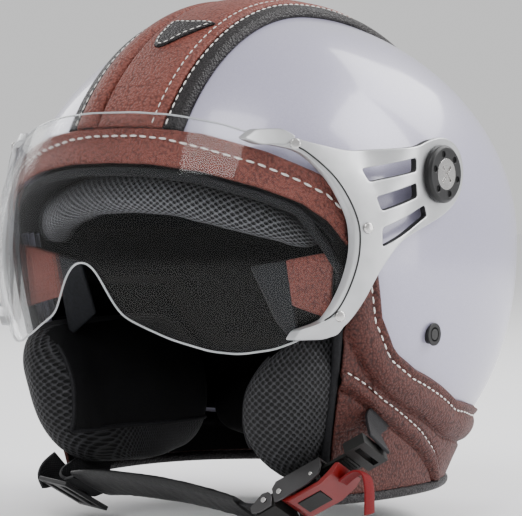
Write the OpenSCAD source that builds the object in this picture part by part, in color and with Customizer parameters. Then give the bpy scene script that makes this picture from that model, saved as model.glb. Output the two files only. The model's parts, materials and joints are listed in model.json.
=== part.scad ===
// Open face motorcycle helmet: fibre shell, foam liner, leather trim, bubble
// visor on two pivots and a chin strap with a ratchet buckle.
// The origin is the middle of the shell at its widest level. The face looks
// along -Y, the wearer's left is +X and up is +Z.

/* [Shell] */
// Half width of the shell
shell_a = 124; // [118:1:130]
// Reach of the shell in front of the origin
shell_f = 126; // [120:1:132]
// Reach of the shell behind the origin
shell_b = 154; // [145:1:162]
// Height of the crown above the origin
shell_u = 124; // [118:1:130]
// Depth of the lower half's curve
shell_d = 148; // [140:1:156]
// Wall of the shell
shell_t = 4; // [3:0.5:5]

/* [Linings] */
// Thickness of the impact foam
foam_t = 21; // [18:1:24]
// Thickness of the comfort lining
lining_t = 7; // [5:1:9]

/* [Leather] */
// Half width of the strip over the crown, without its edgings
strip_half = 29; // [26:0.5:31]
// Width of each black edging
edging_w = 9.5; // [8:0.5:11]
// Thickness of the padded strip
strip_t = 6; // [4:0.5:7]
// Height of the bottom edge below the origin
foot_z = -126; // [-130:1:-122]

/* [Visor] */
// Half width of the bubble at its fullest level
lens_a = 130; // [128:0.5:132]
// Reach of the bubble in front of the origin
lens_f = 143; // [140:1:146]
// Thickness of the clear sheet
lens_t = 2.2; // [1.8:0.1:3]
// Distance of the pivots in front of the origin
pivot_y = -17; // [-20:1:-14]
// Height of the pivots
pivot_z = 35; // [32:1:38]
// Thickness of the side arms
arm_t = 4; // [3:0.5:5]

/* [Chin strap] */
// Width of the webbing
web_w = 22; // [18:1:24]
// Half width of the buckle
buckle_half = 12; // [11:0.5:13]

/* [Hidden] */

// Exponents of the shell's curves: in plan, above and below the origin
plan_p = 2.3;
up_q = 1.96;
down_q = 2.26;
// Height below which the wall runs straight to the foot
wall_z = -75;
foot_a = 96;
foot_f = 110;
foot_b = 93;
pivot_r = 5;
running_gap = 0.05;
cap_r = 16.5;
skirt_t = 3;
face_lon = 57;
arm_in = 124.6;
socket_y = -11.5;
socket_z = -46;
socket_r = 3;
buckle_at = [79.9, -74.1, -127.6];
buckle_turn = [-35, -29.9, 15.2];
pawl_u = 19;
pawl_n = 0.4;

// Latitude of the shell opening's edge and of the white paint's edge,
// against the angle from the front
open_edge = [[0, 18.5], [12, 18], [25, 16], [38, 12.3], [47, 9], [53, 5], [57, 0]];
paint_edge = [[0, 27.5], [12, 27], [25, 25], [40, 20.5], [53, 15], [60, 8], [65, -5],
    [67, -16], [72, -24], [80, -28.5], [90, -32], [105, -37], [120, -38], [180, -37]];
lens_top = [[0, 66], [7, 66], [17, 64.5], [22, 62.8], [30, 59.5], [38, 54], [43, 51],
    [47, 47], [50, 41], [53, 33], [56, 20], [57.5, 4]];
lens_foot = [[0, -9.4], [2.5, -13], [5, -24], [6.7, -31], [12.7, -38.7], [19.7, -45.7],
    [28, -51.4], [34, -52.8], [41.5, -50.4], [47, -45.6], [50, -40], [53, -33],
    [56, -20], [57.5, -4]];
half_lons = [0, 12, 24, 34, 42, 48, 53, 57, 60, 62.5, 65, 67, 69.5, 72, 76, 80, 86,
    92, 99, 106, 115, 124, 133, 142, 151, 161, 170, 180];
all_lons = concat(half_lons, [for (i = [len(half_lons) - 2:-1:1]) 360 - half_lons[i]]);

function clamp01(v) = max(0, min(1, v));
function ease(v) = let (c = clamp01(v)) c * c * (3 - 2 * c);
function mix(a, b, k) = a * (1 - k) + b * k;
function from_front(lon) = let (m = ((lon % 360) + 360) % 360) min(m, 360 - m);
function edge(table, lon) = lookup(from_front(lon), table);

// Level of the shell's equation in direction d, with every half axis grown by off
function level(d, off) =
    let (ay = (d[1] < 0 ? shell_f : shell_b) + off,
         az = (d[2] > 0 ? shell_u : shell_d) + off,
         q = d[2] > 0 ? up_q : down_q)
    pow(pow(pow(abs(d[0]) / (shell_a + off), plan_p) + pow(abs(d[1]) / ay, plan_p), q / plan_p)
        + pow(abs(d[2]) / az, q), -1 / q);
function dir(lon, lat) = [sin(lon) * cos(lat), -cos(lon) * cos(lat), sin(lat)];
function on_shell(lon, lat, off) = dir(lon, lat) * level(dir(lon, lat), off);

// Plan radius of the outer wall at a height, down through the leather skirt
function shell_plan(lon, z, off) =
    let (az = (z > 0 ? shell_u : shell_d) + off, q = z > 0 ? up_q : down_q,
         ay = (cos(lon) > 0 ? shell_f : shell_b) + off,
         k = pow(max(0.001, 1 - pow(abs(z) / az, q)), plan_p / q))
    pow(k / (pow(abs(sin(lon)) / (shell_a + off), plan_p)
        + pow(abs(cos(lon)) / ay, plan_p)), 1 / plan_p);
function foot_plan(lon, off) =
    pow(pow(abs(sin(lon)) / (foot_a + off), 2.2)
        + pow(abs(cos(lon)) / ((cos(lon) > 0 ? foot_f : foot_b) + off), 2.2), -1 / 2.2);
function wall_plan(lon, z, off) =
    z > wall_z ? shell_plan(lon, z, off)
    : mix(shell_plan(lon, wall_z, off), foot_plan(lon, off),
          pow(clamp01((wall_z - z) / (wall_z - foot_z)), 0.9));
function on_wall(lon, z, off) =
    let (r = wall_plan(lon, z, off)) [r * sin(lon), -r * cos(lon), z];

// A point over the crown: x from the middle line, t turned up from the front
function over(x, t, off) =
    let (r0 = level([0, -cos(t), sin(t)], off), d = [x / r0, -cos(t), sin(t)])
    d * level(d, off);

// Bubble of the visor
function lens_scale(z) = 1 - 0.000032 * pow(z + 5, 2);
function on_lens(lon, z, off) =
    let (s = lens_scale(z),
         r = pow(pow(abs(sin(lon)) / (lens_a * s + off), plan_p)
                 + pow(abs(cos(lon)) / (lens_f * s + off), plan_p), -1 / plan_p))
    [r * sin(lon), -r * cos(lon), z];
function lens_x(y, z) =
    let (s = lens_scale(z))
    lens_a * s * pow(max(0.02, 1 - pow(abs(y) / (lens_f * s), plan_p)), 1 / plan_p);
function arm_x(y, z) = mix(lens_x(y, z) + 0.3, arm_in, ease((y + 64) / 30));

function flat(rows) = [for (r = rows) for (p = r) p];
function quad(a, b, c, d) = [[a, b, c], [a, c, d]];
function grid_faces(nr, nc, at, wrap, turn) =
    [for (i = [0:nr - 2], j = [0:nc - (wrap ? 1 : 2)])
        let (a = at + i * nc + j, b = at + i * nc + (j + 1) % nc, c = b + nc, d = a + nc)
        each (turn ? quad(a, d, c, b) : quad(a, b, c, d))];

// Closed curved plate between an outer and an inner grid of points
module plate(outer, inner) {
    nr = len(outer);
    nc = len(outer[0]);
    n = nr * nc;
    polyhedron(concat(flat(outer), flat(inner)), concat(
        grid_faces(nr, nc, 0, false, false), grid_faces(nr, nc, n, false, true),
        [for (j = [0:nc - 2]) each quad(j + 1, j, n + j, n + j + 1)],
        [for (j = [0:nc - 2]) let (k = (nr - 1) * nc + j) each quad(k, k + 1, n + k + 1, n + k)],
        [for (i = [0:nr - 2]) let (k = i * nc) each quad(k, k + nc, n + k + nc, n + k)],
        [for (i = [0:nr - 2]) let (k = i * nc + nc - 1) each quad(k + nc, k, n + k, n + k + nc)]));
}

// Closed dome: rings of points that wrap round, each grid ending in one pole
module dome(outer, inner, outer_pole, inner_pole) {
    nr = len(outer);
    nc = len(outer[0]);
    n = nr * nc;
    last = (nr - 1) * nc;
    polyhedron(concat(flat(outer), flat(inner), [outer_pole, inner_pole]), concat(
        grid_faces(nr, nc, 0, true, false), grid_faces(nr, nc, n, true, true),
        [for (j = [0:nc - 1]) each quad((j + 1) % nc, j, n + j, n + (j + 1) % nc)],
        [for (j = [0:nc - 1]) [last + j, last + (j + 1) % nc, 2 * n]],
        [for (j = [0:nc - 1]) [n + last + (j + 1) % nc, n + last + j, 2 * n + 1]]));
}

// Solid through a row of closed rings, capped at both ends
module loft(rings) {
    nr = len(rings);
    nc = len(rings[0]);
    ends = [for (r = [rings[0], rings[nr - 1]]) [for (k = [0:2]) sum_of(r, k) / nc]];
    last = (nr - 1) * nc;
    polyhedron(concat(flat(rings), ends), concat(
        grid_faces(nr, nc, 0, true, true),
        [for (j = [0:nc - 1]) [j, (j + 1) % nc, nr * nc]],
        [for (j = [0:nc - 1]) [last + (j + 1) % nc, last + j, nr * nc + 1]]));
}
function sum_of(ring, k, i = 0) = i == len(ring) ? 0 : ring[i][k] + sum_of(ring, k, i + 1);

// Stuffed roll laid along the wall from one angle to another. The tables give
// the height of its middle, its half height, its depth inside the wall and
// half its thickness, against the angle from the front.
module roll(lon0, lon1, mid, half, depth, thick, rings, sides) {
    loft([for (i = [0:rings]) let (u = i / rings, lon = mix(lon0, lon1, u),
            s = pow(1 - pow(abs(2 * u - 1), 6) * 0.93, 0.5),
            a = from_front(lon), zc = lookup(a, mid), zh = lookup(a, half) * s,
            oc = lookup(a, depth), oh = lookup(a, thick) * s)
        [for (k = [0:sides - 1]) let (w = k * 360 / sides)
            on_wall(lon, zc + zh * squircle(sin(w)), oc + oh * squircle(cos(w)))]]);
}
function squircle(v) = sign(v) * pow(abs(v), 0.75);

// Round cord of radius r through a row of points
module tube(path, r, sides) {
    loft([for (i = [0:len(path) - 1])
        let (t = unit(path[min(i + 1, len(path) - 1)] - path[max(i - 1, 0)]),
             b = unit(cross(t, abs(t[2]) > 0.9 ? [0, 1, 0] : [0, 0, 1])), n = cross(b, t))
        [for (k = [0:sides - 1]) let (w = -k * 360 / sides)
            path[i] + r * (b * cos(w) + n * sin(w))]]);
}
function unit(v) = v / norm(v);

// Flat band of webbing through a row of points, t thick and w wide along the
// side direction given for each point
module band(path, across, w, t) {
    loft([for (i = [0:len(path) - 1])
        let (along = unit(path[min(i + 1, len(path) - 1)] - path[max(i - 1, 0)]),
             up = unit(cross(along, across[i])), side = unit(cross(up, along)),
             a = side * w / 2, h = up * t / 2)
        [path[i] - a - h, path[i] + a - h, path[i] + a + h, path[i] - a + h]]);
}

module left_right(s) {
    mirror([s < 0 ? 1 : 0, 0, 0]) children();
}

// Shell and linings
shell_rows = 13;
function shell_low(lon) =
    edge(paint_edge, lon) - mix(6.5, -1, ease((from_front(lon) - 96) / 20));
module cap_shape(off_out, off_in, low, lons, rows) {
    grid = [for (off = [off_out, off_in]) [for (j = [0:rows - 1]) [for (lon = lons)
        on_shell(lon, mix(low(lon), 90, j / rows), off)]]];
    dome(grid[0], grid[1], on_shell(0, 90, off_out), on_shell(0, 90, off_in));
}
module shell() {
    color("lavender")
    difference() {
        cap_shape(0, -shell_t, function(lon) shell_low(lon), all_lons, shell_rows);
        translate([-150, pivot_y, pivot_z]) rotate([0, 90, 0]) cylinder(h = 300, r = 6.2, $fn = 48);
        translate([-150, socket_y, socket_z]) rotate([0, 90, 0]) cylinder(h = 300, r = 6.2, $fn = 48);
    }
}
function liner_low(lon) = let (a = from_front(lon))
    a < 58 ? shell_low(lon) + 1 : mix(-13, -29, ease((a - 114) / 14)) + 14 * ease((64 - a) / 6);
liner_lons = [for (i = [0:43]) i * 360 / 44];
module impact_liner() {
    color("gray")
    difference() {
        cap_shape(-shell_t - 1.3, -shell_t - 1.3 - foam_t, function(lon) liner_low(lon), liner_lons, 9);
        for (s = [-1, 1]) translate([s * 112, pivot_y, pivot_z]) rotate([0, 90, 0])
            cylinder(h = 20, r = 10, center = true, $fn = 48);
    }
}
module comfort_liner() {
    color("dimgray")
    cap_shape(-shell_t - 3 - foam_t, -shell_t - 3 - foam_t - lining_t,
              function(lon) max(liner_low(lon) + 3, 2), [for (i = [0:31]) i * 360 / 32], 6);
}

// Padding
module brow_pad() {
    color("dimgray")
    roll(-54, 54, [[0, 26], [15, 24.5], [30, 17.5], [42, 11], [54, 0]], [[0, 11.5], [54, 11]],
         [[0, -21]], [[0, 11]], 18, 10);
}
pad_mid = [[40, -84], [55, -82], [75, -83], [118, -80]];
pad_half = [[40, 30], [55, 40], [75, 41], [100, 38], [118, 32]];
pad_depth = [[40, -28.5], [58, -28.5], [67, -32.4], [118, -32.4]];
pad_thick = [[40, 23.5], [58, 23.5], [67, 19.4], [118, 19.4]];
module cheek_pad(s) {
    color("dimgray")
    left_right(s) roll(40, 116, pad_mid, pad_half, pad_depth, pad_thick, 16, 14);
}
module core_block(off_out, off_in, lon0, lon1, z0, z1) {
    lons = [for (i = [0:6]) mix(lon0, lon1, i / 6)];
    zs = [for (i = [0:5]) mix(z1, z0, i / 5)];
    plate([for (z = zs) [for (lon = lons) on_wall(lon, z, off_out)]],
          [for (z = zs) [for (lon = lons) on_wall(lon, z, off_in)]]);
}
module cheek_core(s) {
    color("gray")
    left_right(s) core_block(-5, -12.2, 69, 91.4, -44, -68);
}
module neck_roll() {
    color("black")
    roll(124, 236, [[124, -99], [180, -97]], [[124, 20], [180, 23]], [[0, -20]], [[0, 13]], 18, 10);
}

// Leather
module over_plate(x0, x1, across, t0, t1, along, off_in, off_out) {
    xs = [for (i = [0:across]) mix(x0, x1, i / across)];
    ts = [for (j = [0:along]) mix(t0, t1, j / along)];
    plate([for (t = ts) [for (x = xs) over(x, t, off_out)]],
          [for (t = ts) [for (x = xs) over(x, t, off_in)]]);
}
module crown_strip() {
    color("sienna")
    over_plate(-strip_half + 0.2, strip_half - 0.2, 4, 29.5, 215.5, 36, 0.6, strip_t);
}
module strip_edging(s) {
    color("#3f3239")
    left_right(s)
    over_plate(strip_half + 0.2, strip_half + edging_w, 1, 29.5, 215.5, 36, 0.6, strip_t - 1);
}
module crown_patch() {
    color("#2b2226")
    plate(patch_grid(strip_t + 1.6), patch_grid(strip_t + 0.2));
}
function patch_grid(off) = [for (j = [0:4]) [for (i = [-3:3]) let (k = j / 4)
    over(mix(0, 6.8, k) + i * mix(1, 4.6, pow(k, 0.7)), mix(49.5, 60, k) - 1.2 * (1 - pow(i / 3, 2)) * (1 - k), off)]];
module brow_band() {
    lons = [for (i = [-12:12]) face_lon * i / 12];
    color("sienna")
    plate([for (k = [0:3]) [for (lon = lons) brow_point(lon, k / 3, 4.6)]],
          [for (k = [0:3]) [for (lon = lons) brow_point(lon, k / 3, 0.2)]]);
}
function brow_point(lon, k, off) =
    on_shell(lon, mix(edge(open_edge, lon), edge(paint_edge, lon), k), off);
function skirt_top(lon) = on_shell(lon, edge(paint_edge, lon), 0)[2];
module skirt_panel(lon0, lon1, cols) {
    lons = [for (i = [0:cols]) mix(lon0, lon1, i / cols)];
    plate(skirt_grid(lons, skirt_t), skirt_grid(lons, 0.6));
}
function skirt_grid(lons, off) = [for (j = [0:6]) [for (lon = lons)
    on_wall(lon, mix(foot_z, skirt_top(lon), j / 6), off)]];
module side_skirt(s) {
    color("sienna")
    left_right(s)
    difference() {
        skirt_panel(face_lon + 0.5, 127.7, 16);
        if (s > 0) translate(on_wall(73, -86.6, 1)) rotate([30, 0, -18])
            cube([16, 19, 21], center = true);
    }
}
module neck_skirt() {
    color("sienna")
    skirt_panel(128, 232, 14);
}
module skirt_roll(lon0, lon1, cols) {
    lons = [for (i = [0:cols]) mix(lon0, lon1, i / cols)];
    grid = [for (off = [5.6, skirt_t + 0.4]) [for (k = [0:3]) [for (lon = lons)
        on_wall(lon, skirt_top(lon) - 14 + 13 * k / 3, off - (k % 3 == 0 && off > 4 ? 1.4 : 0))]]];
    plate(grid[0], grid[1]);
}
module skirt_band(s) {
    color("sienna")
    left_right(s) skirt_roll(62, 127.7, 20);
}
module neck_band() {
    color("sienna")
    skirt_roll(128, 232, 16);
}
module bottom_binding() {
    color("black")
    tube([for (i = [0:44]) on_wall(mix(58, 302, i / 44), foot_z - 2.6, 1.4)], 2.5, 8);
}
module rim_binding() {
    side = [for (z = [-114, -96, -74, -52, -30, -12]) on_wall(face_lon - 1, z, 0.5)];
    brow = [for (i = [-8:8]) on_shell(i * 6.9, edge(open_edge, i * 6.9) - 1.6, 0)];
    color("black")
    tube(concat([for (p = side) [-p[0], p[1], p[2]]], brow, [for (i = [5:-1:0]) side[i]]), 2.2, 8);
}
module cheek_flap(s) {
    corners = [for (q = [[54.6, -3, -2], [54.6, -36, -3], [45, -8, -20], [47, -30, -22]])
        on_wall(q[0], q[1], q[2])];
    color("sienna")
    left_right(s)
    plate(flap_grid(corners, 0), flap_grid(corners, 2.4));
}
function flap_grid(c, back) = [for (j = [0:4]) [for (i = [0:4])
    mix(mix(c[1], c[0], j / 4), mix(c[3], c[2], j / 4), i / 4) + [0.35, 0.94, 0] * back]];

// Visor pivots, one each side
module on_pivot(s) {
    left_right(s) translate([0, pivot_y, pivot_z]) rotate([0, 90, 0]) children();
}
module pivot_boss(s) {
    color("black")
    on_pivot(s)
    difference() {
        union() {
            translate([0, 0, 104.6]) cylinder(h = 4, r = 9.5, $fn = 6);
            translate([0, 0, 108.6]) cylinder(h = 14.8, r = 6, $fn = 48);
            translate([0, 0, 123.4]) cylinder(h = 5.6, r = pivot_r, $fn = 48);
        }
        translate([0, 0, 104]) cylinder(h = 26, r = 2.1, $fn = 32);
    }
}
module friction_washers() {
    color("white")
    for (s = [-1, 1]) on_pivot(s)
    translate([0, 0, 123.4])
    difference() {
        cylinder(h = 1, r = 11, $fn = 48);
        translate([0, 0, -1]) cylinder(h = 3, r = pivot_r + running_gap, $fn = 48);
    }
}
module pivot_cap(s) {
    color("#1d1c1e")
    on_pivot(s)
    translate([0, 0, arm_in + arm_t + 0.4])
    difference() {
        union() {
            cylinder(h = 2.6, r = cap_r, $fn = 96);
            translate([0, 0, 2.6]) cylinder(h = 1.2, r1 = cap_r, r2 = cap_r - 1.5, $fn = 96);
        }
        for (a = [0:60:300]) rotate(a + 15) translate([11.6, 0, 2.6]) cylinder(h = 3, r = 1.9, $fn = 32);
        translate([0, 0, 1.4]) cylinder(h = 4, r = 6.2, $fn = 48);
        translate([0, 0, -1]) cylinder(h = 4, r = 2.3, $fn = 32);
    }
}
module pivot_screws() {
    color("silver")
    for (s = [-1, 1]) on_pivot(s)
    difference() {
        union() {
            translate([0, 0, 113]) cylinder(h = 17.5, r = 2, $fn = 32);
            translate([0, 0, arm_in + arm_t + 1.9]) cylinder(h = 2.4, r = 5.8, $fn = 48);
        }
        for (a = [45, 135]) rotate(a) translate([-4, -0.6, arm_in + arm_t + 3.2]) cube([8, 1.2, 3]);
    }
}

// Press-stud sockets in the shell's sides
module side_socket(s) {
    color("black")
    left_right(s)
    translate([0, socket_y, socket_z]) rotate([0, 90, 0])
    difference() {
        union() {
            translate([0, 0, 115.6]) cylinder(h = 5.6, r = 5.8, $fn = 48);
            translate([0, 0, 121.2]) cylinder(h = 1, r = 6.8, $fn = 48);
        }
        translate([0, 0, 116.6]) cylinder(h = 12, r = socket_r, $fn = 48);
    }
}

// Visor
module visor_lens() {
    lons = [for (i = [-24:24]) let (k = abs(i) / 24) sign(i) * 57.5 * (0.75 * k + 0.25 * pow(k, 0.5))];
    color("#c8d0d8", 0.3)
    plate(lens_grid(lons, 0), lens_grid(lons, -lens_t));
}
function lens_grid(lons, off) = [for (j = [0:8]) [for (lon = lons)
    on_lens(lon, mix(edge(lens_foot, lon), edge(lens_top, lon), j / 8), off)]];
arm_outline = [[-107, 53.4], [-101.5, 55.8], [-96, 56.3], [-88.9, 51.5], [-70.4, 46.2],
    [-36.4, 48.5], [-26, 52], [-14, 53.8], [-4, 51.5], [3, 45.5], [5.5, 36], [3, 26],
    [-5, 18.5], [-15, 13.5], [-49.4, 2.6], [-57, -4], [-64.4, -14.2], [-71, -29],
    [-76.3, -38.4], [-81, -42.5], [-95, -44.3], [-95.5, -40], [-89, -38], [-85, -30.8],
    [-80.2, -16.3], [-77.2, -1.8], [-77, 12.7], [-82.5, 32.1], [-91, 46.6], [-104, 50]];
arm_slots = [[[-66, 37.4], [-37, 43], [-37, 36.4], [-64, 31.1]],
    [[-62, 23.8], [-37, 30.6], [-36.5, 23.6], [-60.5, 16.9]],
    [[-61.2, 8.6], [-30, 19.6], [-28, 14.2], [-62, -0.6]]];
module arm_solid() {
    ys = [for (i = [0:14]) mix(-109, 8, i / 14)];
    zs = [for (i = [0:10]) mix(-47, 58, i / 10)];
    difference() {
        intersection() {
            plate([for (z = zs) [for (y = ys) [arm_x(y, z) + arm_t, y, z]]],
                  [for (z = zs) [for (y = ys) [arm_x(y, z), y, z]]]);
            rotate([90, 0, 90]) linear_extrude(height = 150) difference() {
                polygon(arm_outline);
                for (s = arm_slots) polygon(s);
            }
        }
        translate([100, pivot_y, pivot_z]) rotate([0, 90, 0])
            cylinder(h = 50, r = pivot_r + running_gap, $fn = 64);
    }
}
module visor_arm(s) {
    color("silver")
    left_right(s) arm_solid();
}
rivet_spots = [[-92, 49.5], [-69.5, 8.7], [-81, -34]];
module arm_rivets(s) {
    color("white")
    left_right(s)
    for (q = rivet_spots) {
        slope = (arm_x(q[0] + 1, q[1]) - arm_x(q[0] - 1, q[1])) / 2;
        translate([arm_x(q[0], q[1]) + arm_t, q[0], q[1]]) rotate([0, 0, -atan(slope)])
        rotate([0, 90, 0]) translate([0, 0, -1.5]) {
            cylinder(h = 2.2, r = 2.9, $fn = 32);
            translate([0, 0, 2.2]) cylinder(h = 0.6, r1 = 2.9, r2 = 2.1, $fn = 32);
        }
    }
}

// Chin strap
web_across = [-0.06, -0.865, 0.5];
function mirrored(p) = [-p[0], p[1], p[2]];
wall_turns = [[99, -79, -10.5], [91, -87, -8], [80, -97, -6], [69, -108, -5.6]];
right_path = concat([for (q = wall_turns) mirrored(on_wall(q[0], q[1], q[2]))],
    [mirrored(on_wall(64, -118, -7.7)), mirrored(on_wall(60, -126, -7.5)), [-81, -60, -132.5],
     [-75, -62, -134], [-66, -64, -131.5]]);
right_across = concat([for (q = wall_turns) [cos(q[0]), -sin(q[0]), 0]],
    [for (i = [0:4]) mix([-0.4, -0.9, 0], web_across, min(1, i / 2))]);
left_path = [on_wall(99, -79, -10.5), on_wall(88, -82.5, -7.6), on_wall(79, -85, -5),
    on_wall(72, -87, 0.8), on_wall(67, -90, 8), [121.8, -59.4, -97.6]];
left_across = [[0, 0.3, -1], [0, 0.4, -0.9], [0.05, 0.5, -0.87], [0.05, 0.55, -0.85],
    [0.06, 0.7, -0.7], [0.06, 0.865, -0.497]];
tail_path = [[-95.8, -60.3, -135.9], [-98, -61.5, -132], [-101, -62.5, -127], [-103.5, -63.5, -121.5]];
sleeve_path = [[-65, -64.3, -131], [-45, -68, -128.6], [-20, -71, -128.2], [5, -71.5, -129],
    [30, -72, -131.5], [50.5, -73, -134.2]];
anchor_at = on_wall(99, -62, -8.6);
anchor_turn = [0, 12, 9];
module strap_anchors() {
    color("silver")
    for (s = [-1, 1]) left_right(s) {
        translate(anchor_at) rotate(anchor_turn)
        difference() {
            cube([1.6, 22, 26], center = true);
            translate([0, 0, 5]) rotate([0, 90, 0]) cylinder(h = 5, r = 2.6, center = true, $fn = 32);
        }
    }
}
module anchor_rivets() {
    color("silver")
    for (s = [-1, 1]) left_right(s) {
        translate(anchor_at) rotate(anchor_turn) translate([0, 0, 5]) rotate([0, 90, 0]) {
            translate([0, 0, -2.4]) cylinder(h = 4.4, r = 2.5, $fn = 32);
            translate([0, 0, -3]) cylinder(h = 1.4, r = 4.4, $fn = 32);
        }
    }
}
module strap_right() {
    color("#1c1b1e")
    band(right_path, right_across, web_w, 1.6);
}
module strap_left() {
    color("#1c1b1e")
    band(left_path, left_across, 15, 1.6);
}
module strap_tail() {
    color("#1c1b1e")
    band(tail_path, [for (p = tail_path) web_across], web_w, 1.4);
}
module strap_front() {
    path = [[52.2, -73.2, -134.4], [58, -74.4, -134.6], [64.4, -74.9, -134]];
    color("#1c1b1e")
    band(path, [for (p = path) [-0.061, -0.865, 0.497]], 18, 1.6);
}
module chin_sleeve() {
    color("#26252a")
    band(sleeve_path, [for (p = sleeve_path) web_across], web_w + 8, 6);
}
module strap_slider() {
    color("#2a292d")
    translate([-77.7, -64.2, -137.4]) rotate([-30, 1.7, -13.3])
    difference() {
        cube([26, web_w + 10, 2.4], center = true);
        for (x = [-6.2, 6.2]) translate([x, 0, 0]) cube([6.6, web_w + 2, 4], center = true);
    }
}

// Ratchet buckle, drawn along its own X with the chin above it
module in_buckle() {
    translate(buckle_at) rotate(buckle_turn) children();
}
module across_pin(u, n, r, h) {
    translate([u, 0, n]) rotate([90, 0, 0]) cylinder(h = h, r = r, center = true, $fn = 32);
}
side_outline = [[-4, -4], [4, -4.4], [16, -3.8], [23, -2], [25.5, 2.5], [25.5, 6.8], [-1, 6.8], [-4, 4]];
module buckle_frame() {
    color("gray")
    in_buckle()
    difference() {
        union() {
            for (s = [-1, 1]) translate([0, s * (buckle_half - 0.6), 0]) rotate([90, 0, 0])
                linear_extrude(height = 1.2, center = true) polygon(side_outline);
            translate([-1, -buckle_half, 5.6]) cube([26.5, 2 * buckle_half, 1.2]);
        }
        across_pin(0, 0, 1.55, 40);
        across_pin(pawl_u, pawl_n, 1.05, 40);
    }
}
module buckle_base() {
    color("#1c1c18")
    in_buckle()
    difference() {
        translate([-16, -10.6, -5.5]) cube([11.4, 21.2, 8]);
        across_pin(-9.5, 0, 1.55, 40);
        translate([-18, -9.4, 0.4]) cube([5, 18.8, 3.6]);
    }
}
module buckle_pins() {
    color("white")
    in_buckle() {
        across_pin(0, 0, 1.5, 2 * buckle_half + 2);
        across_pin(-9.5, 0, 1.5, 2 * buckle_half + 2);
        across_pin(pawl_u, pawl_n, 1, 2 * buckle_half + 1);
    }
}
module strap_clamp() {
    color("gray")
    in_buckle()
    for (s = [-1, 1]) translate([0, s * (buckle_half - 0.6), 0]) rotate([90, 0, 0])
    linear_extrude(height = 1.2, center = true) difference() {
        polygon([[-18, -3], [-14, -5], [-6, -4.6], [-4.6, 0], [-6.4, 3.6], [-10, 4.4], [-18, 0.4]]);
        translate([-9.5, 0]) circle(r = 1.55, $fn = 32);
    }
}
module buckle_pawl() {
    color("gray")
    in_buckle()
    difference() {
        union() {
            across_pin(pawl_u, pawl_n, 2, 14);
            translate([12.4, -7, -0.6]) cube([pawl_u - 12.4, 14, 1.6]);
            translate([11.4, -7, -0.6]) cube([1.8, 14, 2.9]);
        }
        across_pin(pawl_u, pawl_n, 1.05, 20);
    }
}
module lever_spring() {
    color("silver")
    in_buckle()
    rotate([90, 0, 0])
    difference() {
        cylinder(h = 8, r = 2.6, center = true, $fn = 32);
        cylinder(h = 10, r = 1.6, center = true, $fn = 32);
    }
}
lever_profile = [[-1, -3.6], [3, -6.6], [22, -6.6], [31, -3.6], [34.5, -0.4], [32.6, 0.6], [27, -2.2],
    [21, -4.4], [4.4, -4.4], [3, -1], [1.6, 2.2], [-1.6, 2.2], [-2.6, -1]];
module buckle_lever() {
    color("#c22a2a")
    in_buckle()
    difference() {
        rotate([90, 0, 0]) linear_extrude(height = 19.6, center = true) polygon(lever_profile);
        across_pin(0, 0, 1.55, 40);
        cube([7, 8.8, 6.6], center = true);
        translate([5, -5.4, -7.4]) cube([14, 10.8, 1.6]);
        for (s = [-1, 1]) translate([24, s * 9.8, -10]) rotate([0, 0, s * 24]) translate([0, -5 + s * 5, 0])
            cube([16, 10, 14]);
    }
}
module lever_insert() {
    color("#1c1c18")
    in_buckle()
    translate([5.2, -5.2, -7.2]) cube([13.6, 10.4, 1.2]);
}
ribbon_path = [[29.5, -1, -5.9], [35, -1, -4.6], [39.5, -0.5, -4.8], [42, 1, -8], [40.5, 4, -13],
    [37.5, 7, -18], [34.5, 10, -22]];
module pull_ribbon() {
    color("#a01c24")
    in_buckle()
    band(ribbon_path, [for (p = ribbon_path) [0, 1, 0.3]], 9, 1.3);
}
module ratchet_tongue() {
    color("#1c1c18")
    in_buckle()
    difference() {
        union() {
            translate([3.5, -7, 3.4]) cube([36, 14, 1.7]);
            for (i = [0:11]) translate([17 + 1.8 * i, -5.5, 2.8]) cube([0.9, 11, 0.8]);
            translate([39, -10.5, 2]) cube([12, 21, 6]);
        }
        translate([43.5, -8.5, 0]) cube([3.2, 17, 10]);
    }
}

shell();
impact_liner();
comfort_liner();
brow_pad();
cheek_core(1);  // cheek_core_left
cheek_core(-1);  // cheek_core_right
cheek_pad(1);  // cheek_pad_left
cheek_pad(-1);  // cheek_pad_right
neck_roll();
crown_strip();
strip_edging(1);  // strip_edging_left
strip_edging(-1);  // strip_edging_right
crown_patch();
brow_band();
rim_binding();
side_skirt(1);  // side_skirt_left
side_skirt(-1);  // side_skirt_right
neck_skirt();
skirt_band(1);  // skirt_band_left
skirt_band(-1);  // skirt_band_right
neck_band();
bottom_binding();
cheek_flap(1);  // cheek_flap_left
cheek_flap(-1);  // cheek_flap_right
pivot_boss(1);  // pivot_boss_left
pivot_boss(-1);  // pivot_boss_right
friction_washers();
pivot_cap(1);  // pivot_cap_left
pivot_cap(-1);  // pivot_cap_right
pivot_screws();
side_socket(1);  // side_socket_left
side_socket(-1);  // side_socket_right
strap_anchors();
anchor_rivets();
strap_right();
strap_left();
strap_tail();
strap_front();
strap_slider();
chin_sleeve();
buckle_frame();
buckle_base();
buckle_pins();
strap_clamp();
buckle_pawl();
lever_spring();
visor_lens();
visor_arm(1);  // visor_arm_left
visor_arm(-1);  // visor_arm_right
arm_rivets(1);  // arm_rivets_left
arm_rivets(-1);  // arm_rivets_right
buckle_lever();
lever_insert();
pull_ribbon();
ratchet_tongue();
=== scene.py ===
import bpy, bmesh, json, math
from mathutils import Matrix, Vector, noise


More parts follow.
